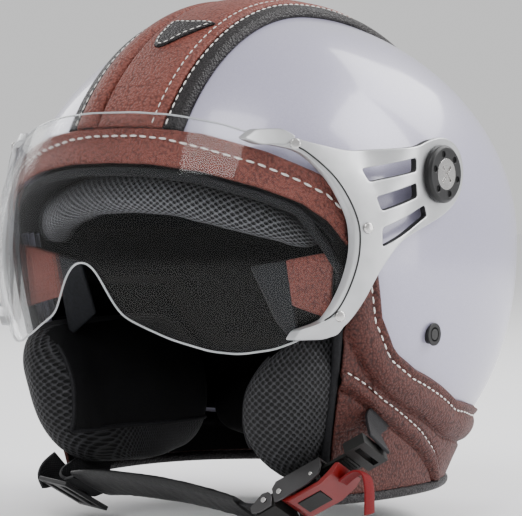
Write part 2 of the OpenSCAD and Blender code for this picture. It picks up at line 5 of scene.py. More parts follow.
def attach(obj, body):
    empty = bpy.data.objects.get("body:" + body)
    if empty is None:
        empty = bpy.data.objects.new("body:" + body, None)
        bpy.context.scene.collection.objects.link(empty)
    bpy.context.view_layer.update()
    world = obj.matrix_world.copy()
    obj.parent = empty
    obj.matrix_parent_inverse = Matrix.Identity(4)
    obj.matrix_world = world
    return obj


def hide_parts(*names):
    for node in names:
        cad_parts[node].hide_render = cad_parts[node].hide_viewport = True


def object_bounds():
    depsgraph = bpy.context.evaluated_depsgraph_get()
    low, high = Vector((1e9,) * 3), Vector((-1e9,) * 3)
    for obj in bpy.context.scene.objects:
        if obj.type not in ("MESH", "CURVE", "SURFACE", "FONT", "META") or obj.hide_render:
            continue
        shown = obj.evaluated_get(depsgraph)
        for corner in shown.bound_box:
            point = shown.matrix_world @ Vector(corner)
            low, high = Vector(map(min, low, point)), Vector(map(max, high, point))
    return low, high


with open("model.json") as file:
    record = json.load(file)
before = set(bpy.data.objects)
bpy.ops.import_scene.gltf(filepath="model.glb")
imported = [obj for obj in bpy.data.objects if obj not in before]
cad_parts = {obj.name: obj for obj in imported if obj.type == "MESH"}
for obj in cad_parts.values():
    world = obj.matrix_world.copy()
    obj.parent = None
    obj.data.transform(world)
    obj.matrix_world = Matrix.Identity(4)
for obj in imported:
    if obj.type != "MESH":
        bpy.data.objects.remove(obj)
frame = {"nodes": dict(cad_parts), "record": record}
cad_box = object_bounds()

scene = bpy.context.scene

# ---------------------------------------------------------------- camera
# A long lens at head height, looking at the wearer's left front. The helmet
# fills the frame a little above its middle.
lens_mm, turn_deg, rise_deg, stand_off = 159.8, 38.0, 1.4, 1.261
looked_at = Vector((0, 0.0068, 0))
camera_data = bpy.data.cameras.new("camera")
camera_data.lens, camera_data.sensor_width = lens_mm, 36
camera_data.shift_x, camera_data.shift_y = -0.0113, -0.0360
camera = bpy.data.objects.new("camera", camera_data)
scene.collection.objects.link(camera)
scene.camera = camera
back = Vector((math.sin(math.radians(turn_deg)) * math.cos(math.radians(rise_deg)),
               -math.cos(math.radians(turn_deg)) * math.cos(math.radians(rise_deg)),
               math.sin(math.radians(rise_deg))))
camera.location = looked_at + back * stand_off
camera.rotation_mode = "QUATERNION"
camera.rotation_quaternion = (-back).to_track_quat("-Z", "Y")

# ---------------------------------------------------------------- studio
# A pale sweep under the helmet, a pale room round it and five soft lamps: one
# high in front, one over each side, one low at the left rear and one behind.
floor_mesh = bpy.data.meshes.new("floor")
build = bmesh.new()
bmesh.ops.create_grid(build, x_segments=2, y_segments=2, size=6)
bmesh.ops.translate(build, verts=build.verts, vec=(0, 0, cad_box[0].z - 0.004))
build.to_mesh(floor_mesh)
build.free()
floor = bpy.data.objects.new("floor", floor_mesh)
scene.collection.objects.link(floor)
floor_paint = bpy.data.materials.new("floor_paint")
floor_paint.use_nodes = True
floor_paint.node_tree.nodes["Principled BSDF"].inputs["Base Color"].default_value = (0.9, 0.9, 0.91, 1)
floor_paint.node_tree.nodes["Principled BSDF"].inputs["Roughness"].default_value = 0.9
floor_mesh.materials.append(floor_paint)

room = bpy.data.worlds.new("room")
room.use_nodes = True
room.node_tree.nodes["Background"].inputs["Color"].default_value = (1, 1, 1, 1)
room.node_tree.nodes["Background"].inputs["Strength"].default_value = 0.8
scene.world = room


def soft_lamp(name, place, size, power):
    """A square lamp that faces the helmet."""
    data = bpy.data.lights.new(name, "AREA")
    data.size, data.energy = size, power
    lamp = bpy.data.objects.new(name, data)
    lamp.location = place
    lamp.rotation_mode = "QUATERNION"
    lamp.rotation_quaternion = (Vector(place) * -1).to_track_quat("-Z", "Y")
    scene.collection.objects.link(lamp)


soft_lamp("front_lamp", (0.3, -1.2, 1.6), 1.0, 21)
soft_lamp("left_lamp", (1.3, 0.9, 1.3), 1.2, 40)
soft_lamp("rim_lamp", (1.7, 0.75, 0.05), 0.9, 10)
soft_lamp("right_lamp", (-1.6, 0.3, 0.9), 0.8, 9)
soft_lamp("rear_lamp", (0.3, 1.5, 1.3), 0.9, 14)

# ---------------------------------------------------------------- shell
# The hard fibre shell, 4 mm thick, sprayed in pearl lilac grey under a clear
# coat. Its two halves blend at the widest level, and its lower edge hides
# behind the leather.
half_width, reach_front, reach_back, rise, drop, wall = 124, 126, 154, 124, 148, 4
paint_edge = [(0, 27.5), (12, 27), (25, 25), (40, 20.5), (53, 15), (60, 8), (65, -5),
              (67, -16), (72, -24), (80, -28.5), (90, -32), (105, -37), (120, -38), (180, -37)]


def clamp01(v):
    return max(0.0, min(1.0, v))


def ease(v):
    v = clamp01(v)
    return v * v * (3 - 2 * v)


def mix(a, b, k):
    return a * (1 - k) + b * k


def look_up(x, table):
    """Straight-line value of a table of (x, value)."""
    if x <= table[0][0]:
        return table[0][1]
    for (x0, y0), (x1, y1) in zip(table, table[1:]):
        if x <= x1:
            return mix(y0, y1, (x - x0) / (x1 - x0))
    return table[-1][1]


def from_front(lon):
    m = lon % 360
    return min(m, 360 - m)


def edge_at(table, lon):
    """The same, for a table against the angle from the front."""
    return look_up(from_front(lon), table)


def shell_level(d, off):
    ay = (reach_front if d.y < 0 else reach_back) + off
    az = (rise if d.z > 0 else drop) + off
    q = 1.96 if d.z > 0 else 2.26
    flat = (abs(d.x) / (half_width + off)) ** 2.3 + (abs(d.y) / ay) ** 2.3
    return (flat ** (q / 2.3) + (abs(d.z) / az) ** q) ** (-1 / q)


def on_shell(lon, lat, off):
    """Point in mm over the shell, off outside it. lon turns from the front to the left."""
    lo, la = math.radians(lon), math.radians(lat)
    d = Vector((math.sin(lo) * math.cos(la), -math.cos(lo) * math.cos(la), math.sin(la)))
    return d * shell_level(d, off)


def new_piece(name, build, material, body="helmet"):
    """Makes the object in metres from a bmesh in mm, smooth but for its sharp edges."""
    bmesh.ops.scale(build, verts=build.verts, vec=(0.001,) * 3)
    for f in build.faces:
        f.smooth = True
    for e in build.edges:
        e.smooth = len(e.link_faces) != 2 or e.calc_face_angle(0) < math.radians(38)
    mesh = bpy.data.meshes.new(name)
    build.to_mesh(mesh)
    build.free()
    mesh.materials.append(material)
    piece = bpy.data.objects.new(name, mesh)
    scene.collection.objects.link(piece)
    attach(piece, body)
    return piece


def laid_sheet(cols, rows, place, inside=(0, 0, 0), close=False):
    """A grid laid over place(u, v) in mm, facing away from the inside point, with UVs in metres."""
    build = bmesh.new()
    bmesh.ops.create_grid(build, x_segments=cols, y_segments=rows, size=0.5)
    uvs = build.loops.layers.uv.new("UVMap")
    middle_u = [place(i / 24, 0.5) for i in range(25)]
    middle_v = [place(0.5, i / 24) for i in range(25)]
    width = sum((b - a).length for a, b in zip(middle_u, middle_u[1:])) * 0.001
    height = sum((b - a).length for a, b in zip(middle_v, middle_v[1:])) * 0.001
    for f in build.faces:
        for loop in f.loops:
            loop[uvs].uv = ((loop.vert.co.x + 0.5) * width, (loop.vert.co.y + 0.5) * height)
    for v in build.verts:
        v.co = place(min(1, max(0, v.co.x + 0.5)), min(1, max(0, v.co.y + 0.5)))
    if close:
        bmesh.ops.remove_doubles(build, verts=build.verts, dist=0.01)
    build.normal_update()
    out = sum(f.normal.dot(f.calc_center_median() - Vector(inside)) * f.calc_area() for f in build.faces)
    if out < 0:
        bmesh.ops.reverse_faces(build, faces=build.faces)
    return build


def thicken(piece, mm, inward=True, round_mm=0.0, lined=None):
    """Gives a sheet its real thickness, and rounds its cut edges."""
    solid = piece.modifiers.new("thickness", "SOLIDIFY")
    solid.thickness = mm * 0.001
    solid.offset = -1 if inward else 1
    if round_mm:
        rounding = piece.modifiers.new("rounding", "BEVEL")
        rounding.width = round_mm * 0.001
        rounding.segments = 3
        rounding.limit_method = "ANGLE"
        rounding.angle_limit = math.radians(50)
    if lined:
        piece.data.materials.append(lined)
        solid.material_offset = 1


def node_of(material, kind, **inputs):
    """Adds one node, with the values or links given by socket name."""
    node = material.node_tree.nodes.new(kind)
    for key, value in inputs.items():
        key = key.replace("_", " ")
        if isinstance(value, bpy.types.NodeSocket):
            material.node_tree.links.new(value, node.inputs[key])
        else:
            node.inputs[key].default_value = value
    return node


def maths(material, operation, a, b=None, c=None, clamp=False):
    node = material.node_tree.nodes.new("ShaderNodeMath")
    node.operation, node.use_clamp = operation, clamp
    for socket, value in zip(node.inputs, (a, b, c)):
        if isinstance(value, bpy.types.NodeSocket):
            material.node_tree.links.new(value, socket)
        elif value is not None:
            socket.default_value = value
    return node.outputs[0]


def ramp(material, value, stops):
    """Colour ramp from [(place, colour)]."""
    node = material.node_tree.nodes.new("ShaderNodeValToRGB")
    material.node_tree.links.new(value, node.inputs["Fac"])
    while len(node.color_ramp.elements) < len(stops):
        node.color_ramp.elements.new(0.5)
    for element, (place, colour) in zip(node.color_ramp.elements, stops):
        element.position = place
        element.color = tuple(colour) if len(colour) == 4 else (*colour, 1)
    return node.outputs["Color"]


def bump(material, height, metres, strength=1.0):
    node = material.node_tree.nodes.new("ShaderNodeBump")
    node.inputs["Distance"].default_value = metres
    node.inputs["Strength"].default_value = strength
    material.node_tree.links.new(height, node.inputs["Height"])
    return node.outputs["Normal"]


def finish(material, colour, roughness, normal=None, **sockets):
    """Fills in a material's Principled shader. Colour may be a value or a link."""
    shader = material.node_tree.nodes["Principled BSDF"]
    values = {"Base Color": colour, "Roughness": roughness}
    values.update({key.replace("_", " "): value for key, value in sockets.items()})
    if normal is not None:
        values["Normal"] = normal
    for key, value in values.items():
        if isinstance(value, bpy.types.NodeSocket):
            material.node_tree.links.new(value, shader.inputs[key])
        else:
            shader.inputs[key].default_value = value
    return material


def blank(name):
    material = bpy.data.materials.new(name)
    material.use_nodes = True
    return material


def place_of(material, name="Object"):
    return material.node_tree.nodes.new("ShaderNodeTexCoord").outputs[name]


pearl_paint = blank("pearl_paint")
where = place_of(pearl_paint)
flakes = node_of(pearl_paint, "ShaderNodeTexVoronoi", Vector=where, Scale=2600.0)
clouds = node_of(pearl_paint, "ShaderNodeTexNoise", Vector=where, Scale=9.0, Detail=2.0)
sparkle = ramp(pearl_paint, flakes.outputs["Color"], [(0.0, (0.34, 0.325, 0.435)),
                                                      (1.0, (0.395, 0.38, 0.49))])
tone = maths(pearl_paint, "MULTIPLY_ADD", clouds.outputs["Fac"], 0.06, 0.97)
shade = node_of(pearl_paint, "ShaderNodeMix")
shade.data_type, shade.blend_type = "RGBA", "MULTIPLY"
shade.inputs["Factor"].default_value = 1.0
pearl_paint.node_tree.links.new(sparkle, shade.inputs[6])
pearl_paint.node_tree.links.new(tone, shade.inputs[7])
peel = node_of(pearl_paint, "ShaderNodeTexNoise", Vector=where, Scale=240.0, Detail=1.0)
finish(pearl_paint, shade.outputs[2], 0.34, bump(pearl_paint, peel.outputs["Fac"], 0.00002, 0.25),
       Metallic=0.12, Coat_Weight=0.7, Coat_Roughness=0.10, Specular_IOR_Level=0.5)


# Painted shade: the inner faces of the shell, brow band and skirts are drawn near-black for the dim inside of
# the helmet, though the shell's inside is pearl paint.
inner_black = blank("inner_black")
finish(inner_black, (0.004, 0.004, 0.0045, 1), 0.8, Specular_IOR_Level=0.15)


def shell_low(lon):
    return edge_at(paint_edge, lon) - 6.5


shell = new_piece("shell_paint", laid_sheet(
    144, 56, lambda u, v: on_shell(u * 360, mix(shell_low(u * 360), 90, v), 0), close=True), pearl_paint)
thicken(shell, wall, lined=inner_black)
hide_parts("shell")

# ---------------------------------------------------------------- crown strip
# A padded strip of brown grained leather from brow to nape. A roll runs down
# its right side behind a deep seam, a sewn line down its left side, and the
# pad under it is thin foam.
strip_half, strip_rise, strip_start, strip_end = 29, 6, 26.9, 215.5
seam_x, sewn_x = -13.5, 22.5
brown_dark, brown_mid, brown_lit = (0.090, 0.022, 0.016), (0.160, 0.041, 0.029), (0.215, 0.064, 0.048)
thread_white = (0.82, 0.80, 0.77, 1)


def over(x, t, off):
    """Point over the crown: x from the middle line, t turned up from the front."""
    t = math.radians(t)
    d = Vector((0, -math.cos(t), math.sin(t)))
    r0 = shell_level(d, off)
    d.x = x / r0
    return d * shell_level(d, off)


def grained(name, dark, middle, lit, grain=720.0, depth=0.0007, roughness=0.5):
    """Pebbled leather: wandering cells, coloured darker in the valleys as painted shade and lighter on the
    high places as a painted highlight, over a broad random tone.
    """
    leather = blank(name)
    where = place_of(leather)
    drift = node_of(leather, "ShaderNodeTexNoise", Vector=where, Scale=160.0, Detail=2.0)
    bent = leather.node_tree.nodes.new("ShaderNodeVectorMath")
    bent.operation = "MULTIPLY_ADD"
    leather.node_tree.links.new(drift.outputs["Color"], bent.inputs[0])
    bent.inputs[1].default_value = (0.0022,) * 3
    leather.node_tree.links.new(where, bent.inputs[2])
    cells = node_of(leather, "ShaderNodeTexVoronoi", Vector=bent.outputs[0], Scale=grain, Randomness=0.9)
    cells.feature = "SMOOTH_F1"
    cells.inputs["Smoothness"].default_value = 0.35
    pebble = maths(leather, "SUBTRACT", 1.0, cells.outputs["Distance"])
    fine = node_of(leather, "ShaderNodeTexNoise", Vector=where, Scale=1500.0, Detail=2.0)
    broad = node_of(leather, "ShaderNodeTexNoise", Vector=where, Scale=45.0, Detail=3.0)
    height = maths(leather, "MULTIPLY_ADD", fine.outputs["Fac"], 0.16, pebble)
    level = maths(leather, "MULTIPLY_ADD", broad.outputs["Fac"], 0.42,
                  maths(leather, "SUBTRACT", pebble, 0.24))
    colour = ramp(leather, level, [(0.18, dark), (0.5, middle), (0.9, lit)])
    rough = maths(leather, "MULTIPLY_ADD", pebble, -0.16, roughness + 0.14)
    return finish(leather, colour, rough, bump(leather, height, depth, 0.9), Specular_IOR_Level=0.3)


brown_leather = grained("brown_leather", brown_dark, brown_mid, brown_lit)

white_thread = blank("white_thread")
twist = node_of(white_thread, "ShaderNodeTexNoise", Vector=place_of(white_thread), Scale=1800.0, Detail=2.0)
finish(white_thread, ramp(white_thread, twist.outputs["Fac"], [(0.3, (0.6, 0.57, 0.53)),
                                                               (0.6, thread_white[:3])]), 0.8,
       bump(white_thread, twist.outputs["Fac"], 0.0002), Sheen_Weight=0.3)


def stitch_row(name, path, facing, pitch=5.4, length=3.9, thick=0.9, sink=0.1, body="helmet", material=None):
    """A sewn row: one rounded thread for each stitch along path(s), s from 0 to 1."""
    spots = [path(i / 400) for i in range(401)]
    run = [0.0]
    for a, b in zip(spots, spots[1:]):
        run.append(run[-1] + (b - a).length)
    build = bmesh.new()
    count = int(run[-1] / pitch)
    k = 0
    for i in range(count):
        at = (i + 0.5) * run[-1] / count
        while run[k + 1] < at:
            k += 1
        s = (k + (at - run[k]) / (run[k + 1] - run[k])) / 400
        along = (spots[min(400, k + 1)] - spots[k]).normalized()
        out = facing(s).normalized()
        out = (out - along * out.dot(along)).normalized()
        side = out.cross(along)
        turn = Matrix((along, side, out)).transposed().to_4x4()
        bmesh.ops.create_icosphere(
            build, subdivisions=2, radius=1.0,
            matrix=Matrix.Translation(path(s) - out * sink) @ turn
            @ Matrix.Diagonal((length / 2, thick / 2, thick * 0.42, 1)))
    return new_piece(name, build, material or white_thread, body)


def strip_height(x):
    """Rise of the strip's leather across its width, with the seam, roll and sewn line."""
    h = strip_rise + 0.5 * (1 - (x / strip_half) ** 2)
    if x < seam_x:
        across = clamp01((x + strip_half) / (strip_half + seam_x))
        h = strip_rise - 0.9 + 2.0 * math.sin(math.pi * across) ** 0.6
    h -= 3.2 * math.exp(-((x - seam_x) / 1.1) ** 2)
    h -= 0.8 * math.exp(-((x - sewn_x) / 1.3) ** 2)
    return h - 1.6 * clamp01((abs(x) - strip_half + 1.2) / 1.2) ** 2


crown_strip = new_piece("crown_strip_leather", laid_sheet(
    96, 220, lambda u, v: over(mix(-strip_half, strip_half, u), mix(strip_start, strip_end, v),
                               strip_height(mix(-strip_half, strip_half, u)))), brown_leather)
thicken(crown_strip, 2.0)
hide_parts("crown_strip")
stitch_row("crown_sewn_line", lambda s: over(sewn_x, mix(strip_start + 0.6, 215, s),
                                             strip_height(sewn_x) + 0.25),
           lambda s: over(sewn_x, mix(strip_start + 0.6, 215, s), 0), pitch=4.6, length=3.3, thick=0.75)

# ---------------------------------------------------------------- strip edgings
# Two narrow bands of black grained leather along the strip, folded under and
# topstitched in white close to the brown.
edging_width = 9.5
black_leather = grained("black_leather", (0.0025, 0.002, 0.0022), (0.007, 0.005, 0.006),
                        (0.016, 0.012, 0.014),
                        grain=820.0, roughness=0.42)
for side, name in ((1, "left"), (-1, "right")):
    def edging_point(u, v, side=side):
        h = mix(5.1, 4.4, u) * (1 - clamp01((u - 0.72) / 0.28) ** 2.2 * 0.9)
        h -= 1.3 * clamp01((0.1 - u) / 0.1) ** 2
        return over(side * mix(strip_half + 0.1, strip_half + edging_width, u),
                    mix(strip_start, strip_end, v), h)
    edging = new_piece("strip_edging_" + name, laid_sheet(18, 220, edging_point), black_leather)
    thicken(edging, 1.4)
    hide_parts("strip_edging_" + name)
    stitch_row("edging_stitches_" + name,
               lambda s, side=side: over(side * (strip_half + 1.6), mix(strip_start + 0.6, 215, s), 5.15),
               lambda s, side=side: over(side * strip_half, mix(strip_start + 0.6, 215, s), 0), pitch=4.8,
               length=3.5, thick=0.85)

# ---------------------------------------------------------------- crown patch
# A small black leather patch sewn on the strip above the brow: a blunt tip in
# front and two upper corners, with a white row just inside its edge.
patch_outline = [(-5.2, 51.9), (-3.2, 50.6), (0, 50.0), (3.6, 50.6), (8, 52.5), (14, 55.6), (20.8, 59.5),
                 (20.6, 60.7),
                 (8, 61.2), (-5.2, 61.4), (-7.4, 60.3), (-7.3, 56.5), (-6.4, 53.6)]
patch_middle = (5.5, 56.4)


def patch_rim(a, inset=0.0):
    """Point (x, t) of the patch's outline, a from 0 to 1 round it."""
    n = len(patch_outline)
    k, f = int(a * n) % n, (a * n) % 1
    p = [Vector(patch_outline[(k + j) % n]) for j in (-1, 0, 1, 2)]
    spot = 0.5 * (2 * p[1] + (p[2] - p[0]) * f + (2 * p[0] - 5 * p[1] + 4 * p[2] - p[3]) * f * f
                  + (3 * p[1] - p[0] - 3 * p[2] + p[3]) * f ** 3)
    way = Vector(patch_middle) - spot
    real = Vector((way.x, way.y * 2.2)).length
    return spot + way * min(1, inset / real)


def patch_point(u, v):
    spot = Vector(patch_middle).lerp(patch_rim(u), v)
    return over(spot.x, spot.y, strip_rise + 0.7 + 1.3 * (1 - clamp01((v - 0.86) / 0.14) ** 2.5))


patch = new_piece("crown_patch_leather", laid_sheet(88, 22, patch_point, close=True), black_leather)
thicken(patch, 1.2)
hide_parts("crown_patch")
stitch_row("patch_stitches",
           lambda s: over(*patch_rim(s, 2.3), strip_rise + 2.05), lambda s: over(*patch_rim(s, 2.3), 0),
           pitch=3.6, length=2.6, thick=0.75)

# ---------------------------------------------------------------- brow band
# Brown leather folded over the shell's front edge and glued, with one bold
# white row sewn along it below the fold.
open_edge = [(0, 18.5), (12, 18), (25, 16), (38, 12.3), (47, 9), (53, 5), (57, 0)]
brow_row = [(0, 24.8), (7, 24.7), (15, 23.7), (25, 21.2), (38, 17.3), (47, 13.6), (53, 10.5), (57, 6.5)]
face_lon = 57


def brow_height(k):
    """Rise across the band, k from the opening to the paint: a rolled fold at each edge."""
    fold = 1.5 * math.exp(-((k - 0.90) / 0.09) ** 2)
    tucks = 2.6 * clamp01((k - 0.93) / 0.07) ** 2 + 1.4 * clamp01((0.07 - k) / 0.07) ** 2
    return mix(3.9, 3.0, k) + fold - tucks


brow_band = new_piece("brow_band_leather", laid_sheet(
    130, 36, lambda u, v: on_shell(mix(-face_lon, face_lon, u), mix(
        edge_at(open_edge, mix(-face_lon, face_lon, u)), edge_at(paint_edge, mix(-face_lon, face_lon, u)), v),
        brow_height(v))), brown_leather)
thicken(brow_band, 2.2, lined=inner_black)
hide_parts("brow_band")
stitch_row("brow_stitches", lambda s: on_shell(mix(-56, 56, s), edge_at(brow_row, mix(-56, 56, s)), 4.25),
           lambda s: on_shell(mix(-56, 56, s), edge_at(brow_row, mix(-56, 56, s)), 0), pitch=6.0,
           length=4.5, thick=1.15)

# ---------------------------------------------------------------- leather skirts
# The brown leather that wraps the sides and nape below the paint. A stuffed
# roll follows the paint's edge under a white row, and a second row runs down
# each side above a pleat.
wall_turn_z, foot_z = -75, -126
foot_side, foot_front, foot_back = 96, 110, 93
side_row = [(57, -61.5), (59, -63), (64, -69), (70.8, -78), (80, -87.5), (89.4, -97), (99, -108.5),
            (107, -121), (110, -128)]


# A darker copy of the brown leather for the skirts: painted shade for the lower leather, which gets less
# light.
skirt_leather = grained("skirt_leather", (0.030, 0.0075, 0.006), (0.066, 0.0165, 0.012), (0.10, 0.029, 0.022))


def wall_reach(lon, z, off):
    """Plan radius of the outer wall, which runs straight to the foot below the shell's turn."""
    s, c = abs(math.sin(math.radians(lon))), math.cos(math.radians(lon))
    level = max(z, wall_turn_z)
    az, q = ((rise, 1.96) if level > 0 else (drop, 2.26))
    ay = (reach_front if c > 0 else reach_back) + off
    k = max(0.001, 1 - (abs(level) / (az + off)) ** q) ** (2.3 / q)
    top = (k / ((s / (half_width + off)) ** 2.3 + (abs(c) / ay) ** 2.3)) ** (1 / 2.3)
    if z >= wall_turn_z:
        return top
    by = (foot_front if c > 0 else foot_back) + off
    foot = ((s / (foot_side + off)) ** 2.2 + (abs(c) / by) ** 2.2) ** (-1 / 2.2)
    return mix(top, foot, clamp01((wall_turn_z - z) / (wall_turn_z - foot_z)) ** 0.9)


def on_wall(lon, z, off):
    r = wall_reach(lon, z, off)
    return Vector((r * math.sin(math.radians(lon)), -r * math.cos(math.radians(lon)), z))


def paint_z(lon):
    return on_shell(lon, edge_at(paint_edge, lon), 0).z


paint_line = [(lon * 2.0, paint_z(lon)) for lon in [40, 45, 50, 54, 57, 59, 61, 63, 65, 66, 67, 69, 71, 74,
                                                    78,
              82, 86, 90, 95, 100, 105, 110, 116, 123, 130, 140, 150, 160, 170, 180, 190]]


def gap_to(line, x, z):
    """Distance from a point of the unrolled wall to a line on it."""
    best = 1e9
    for (x0, z0), (x1, z1) in zip(line, line[1:]):
        dx, dz = x1 - x0, z1 - z0
        k = clamp01(((x - x0) * dx + (z - z0) * dz) / (dx * dx + dz * dz))
        best = min(best, math.hypot(x - x0 - k * dx, z - z0 - k * dz))
    return best


def skirt_height(lon, z):
    """Rise of the leather over the wall: rolled edge, sewn dip, stuffed roll, crease, then row and pleat."""
    a = from_front(lon)
    d = gap_to(paint_line, a * 2.0, z)
    h = 3.0
    if d < 5.5:
        h = mix(1.2, 4.0, ease(d / 2.2)) - 0.8 * math.exp(-((d - 5.3) / 1.2) ** 2)
    elif d < 19:
        h = 3.1 + 3.0 * math.sin(math.pi * (d - 5.5) / 13.5) ** 0.7
    h -= 1.3 * math.exp(-((d - 19.5) / 1.3) ** 2)
    if 57 <= a <= 112:
        e = look_up(a, side_row) - z
        fade = ease((112 - a) / 6)
        h += fade * (-0.9 * math.exp(-(e / 1.0) ** 2)
                     + (2.0 * math.sin(math.pi * e / 9) if 0 < e < 9 else 0)
                     - 1.5 * math.exp(-((e - 9.6) / 1.2) ** 2))
    return h + 0.25 * noise.noise(Vector((lon * 0.12, z * 0.05, 3.0)))


def skirt_point(lon, v):
    z = mix(foot_z, paint_z(lon), v)
    return on_wall(lon, z, skirt_height(lon, z))


for name, first, last, cols, nodes in (
        ("left", face_lon + 0.4, 128, 190, ("side_skirt_left", "skirt_band_left")),
        ("right", 232, 360 - face_lon - 0.4, 190, ("side_skirt_right", "skirt_band_right")),
        ("nape", 128, 232, 150, ("neck_skirt", "neck_band"))):
    skirt = new_piece("skirt_" + name, laid_sheet(
        cols, 110, lambda u, v: skirt_point(mix(first, last, u), v)), skirt_leather)
    thicken(skirt, 2.0, lined=inner_black)
    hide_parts(*nodes)


def paint_row_point(lon):
    """Point of the upper sewn row, 5.3 mm below the paint's edge along the wall."""
    here = Vector((lon * 2.0, paint_z(lon)))
    there = Vector((lon * 2.0 + 1, paint_z(lon + 0.5)))
    way = (there - here).normalized()
    spot = here + Vector((way.y, -way.x)) * 5.3
    return on_wall(spot.x / 2.0, spot.y, skirt_height(spot.x / 2.0, spot.y) + 0.35)


for name, sign in (("left", 1), ("right", -1)):
    def flip(p, sign=sign):
        return Vector((p.x * sign, p.y, p.z))
    stitch_row("edge_stitches_" + name, lambda s: flip(paint_row_point(mix(63.5, 179, s))),
               lambda s: flip(Vector((*paint_row_point(mix(63.5, 179, s)).xy, 0))), pitch=5.2, length=3.8,
               thick=1.0)
    stitch_row("pleat_stitches_" + name,
               lambda s: flip(on_wall(mix(58.4, 109, s), look_up(mix(58.4, 109, s), side_row),
                                      skirt_height(mix(58.4, 109, s),
                                                   look_up(mix(58.4, 109, s), side_row)) + 0.4)),
               lambda s: flip(on_wall(mix(58.4, 109, s), 0, 0)), pitch=5.0, length=3.7, thick=1.0)

# ---------------------------------------------------------------- bindings
# Black leather tapes folded over cord: one round the foot of the leather and
# one round the face opening.


def corded(name, path, radius, steps, material, sides=16, body="helmet"):
    """A round cord of that radius in mm along path(s): a sheet rolled into a tube with closed ends."""
    spots = [path(i / steps) for i in range(steps + 1)]
    ahead = [(spots[min(steps, i + 1)] - spots[max(0, i - 1)]).normalized() for i in range(steps + 1)]
    across = ahead[0].orthogonal().normalized()
    frames = []
    for way in ahead:
        across = (across - way * across.dot(way)).normalized()
        frames.append((across, way.cross(across)))
    build = bmesh.new()
    bmesh.ops.create_grid(build, x_segments=sides, y_segments=steps, size=0.5)
    uvs = build.loops.layers.uv.new("UVMap")
    length = sum((b - a).length for a, b in zip(spots, spots[1:]))
    for f in build.faces:
        for loop in f.loops:
            loop[uvs].uv = ((loop.vert.co.x + 0.5) * radius * 0.0063, (loop.vert.co.y + 0.5) * length * 0.001)
    for v in build.verts:
        i = round((v.co.y + 0.5) * steps)
        a = (v.co.x + 0.5) * 2 * math.pi
        v.co = spots[i] + (frames[i][0] * math.cos(a) + frames[i][1] * math.sin(a)) * radius
    bmesh.ops.remove_doubles(build, verts=build.verts, dist=0.001)
    bmesh.ops.holes_fill(build, edges=[e for e in build.edges if e.is_boundary], sides=0)
    bmesh.ops.recalc_face_normals(build, faces=build.faces)
    return new_piece(name, build, material, body)


foot_binding = corded("foot_binding", lambda s: on_wall(mix(58, 302, s), foot_z - 2.4, 1.6), 2.7, 180,
                      black_leather)
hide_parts("bottom_binding")


def rim_point(s):
    """Round the opening: up the right side, across the brow, down the left side."""
    k = abs(2 * s - 1)
    sign = -1 if s < 0.5 else 1
    if k > 0.42:
        p = on_wall(face_lon - 1, mix(-12, -114, (k - 0.42) / 0.58), 0.6)
    else:
        p = on_shell(k / 0.42 * 55.5, edge_at(open_edge, k / 0.42 * 55.5) - mix(1.6, 6.5,
                                                                                ease((k - 0.34) / 0.08)), 0.2)
    return Vector((abs(p.x) * sign, p.y, p.z))




def brushed(name, dark, lit, grain, roughness, shine, depth=0.0003, strength=0.6, top=0.7):
    """Napped or knitted black cloth: fine uneven fibres with hardly any shine."""
    cloth = blank(name)
    nap = node_of(cloth, "ShaderNodeTexNoise", Vector=place_of(cloth), Scale=grain, Detail=3.0)
    shade = ramp(cloth, nap.outputs["Fac"], [(0.3, dark), (top, lit)])
    return finish(cloth, shade, roughness, bump(cloth, nap.outputs["Fac"], depth, strength),
                  Specular_IOR_Level=shine)


rim_cloth = brushed("rim_cloth", (0.003, 0.003, 0.004), (0.011, 0.011, 0.013), 900.0, 0.75, 0.25)
rim = corded("rim_binding_cord", rim_point, 2.3, 220, rim_cloth)
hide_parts("rim_binding")
brow_lining = new_piece("brow_lining", laid_sheet(
    90, 12, lambda u, v: on_shell(mix(-55, 55, u), edge_at(open_edge, mix(-55, 55, u)) + mix(-1.4, 1.8,
                                                                                             v ** 1.6),
                                  mix(0.3, -16, v) + 1.0 * math.sin(math.pi * v))), rim_cloth)
thicken(brow_lining, 1.0)

# ---------------------------------------------------------------- brow pad
# The removable roll of black spacer mesh that rests on the forehead: two
# knitted faces with open cells over soft foam.


def spacer_mesh(name, thread_dark, thread_lit, cell_mm=2.15):
    """Open knitted cells in staggered rows, read from the piece's own UVs in metres."""
    knit = blank(name)
    spread = node_of(knit, "ShaderNodeMapping", Vector=place_of(knit, "UV"),
                     Rotation=(0, 0, math.radians(45)),
                     Scale=(1000 / cell_mm, 1000 / cell_mm, 1))
    cells = node_of(knit, "ShaderNodeTexVoronoi", Vector=spread.outputs[0], Scale=1.0, Randomness=0.12)
    cells.voronoi_dimensions = "2D"
    fibres = node_of(knit, "ShaderNodeTexNoise", Vector=place_of(knit), Scale=2600.0, Detail=2.0)
    broad = node_of(knit, "ShaderNodeTexNoise", Vector=place_of(knit), Scale=30.0, Detail=2.0)
    spot = maths(knit, "MULTIPLY_ADD", fibres.outputs["Fac"], 0.16,
                 maths(knit, "SUBTRACT", cells.outputs["Distance"], 0.08))
    lit = tuple(c * 1.25 for c in thread_lit)
    colour = ramp(knit, spot, [(0.20, (0.002, 0.002, 0.0022)), (0.33, thread_dark), (0.50, thread_lit),
                               (0.68, lit)])
    tone = node_of(knit, "ShaderNodeMix")
    tone.data_type, tone.blend_type = "RGBA", "MULTIPLY"
    tone.inputs["Factor"].default_value = 1.0
    knit.node_tree.links.new(colour, tone.inputs[6])
    knit.node_tree.links.new(maths(knit, "MULTIPLY_ADD", broad.outputs["Fac"], 0.5, 0.75), tone.inputs[7])
    height = ramp(knit, cells.outputs["Distance"], [(0.18, (0, 0, 0)), (0.46, (1, 1, 1))])
    return finish(knit, tone.outputs[2], 0.62, bump(knit, height, 0.0009, 0.9), Specular_IOR_Level=0.25)


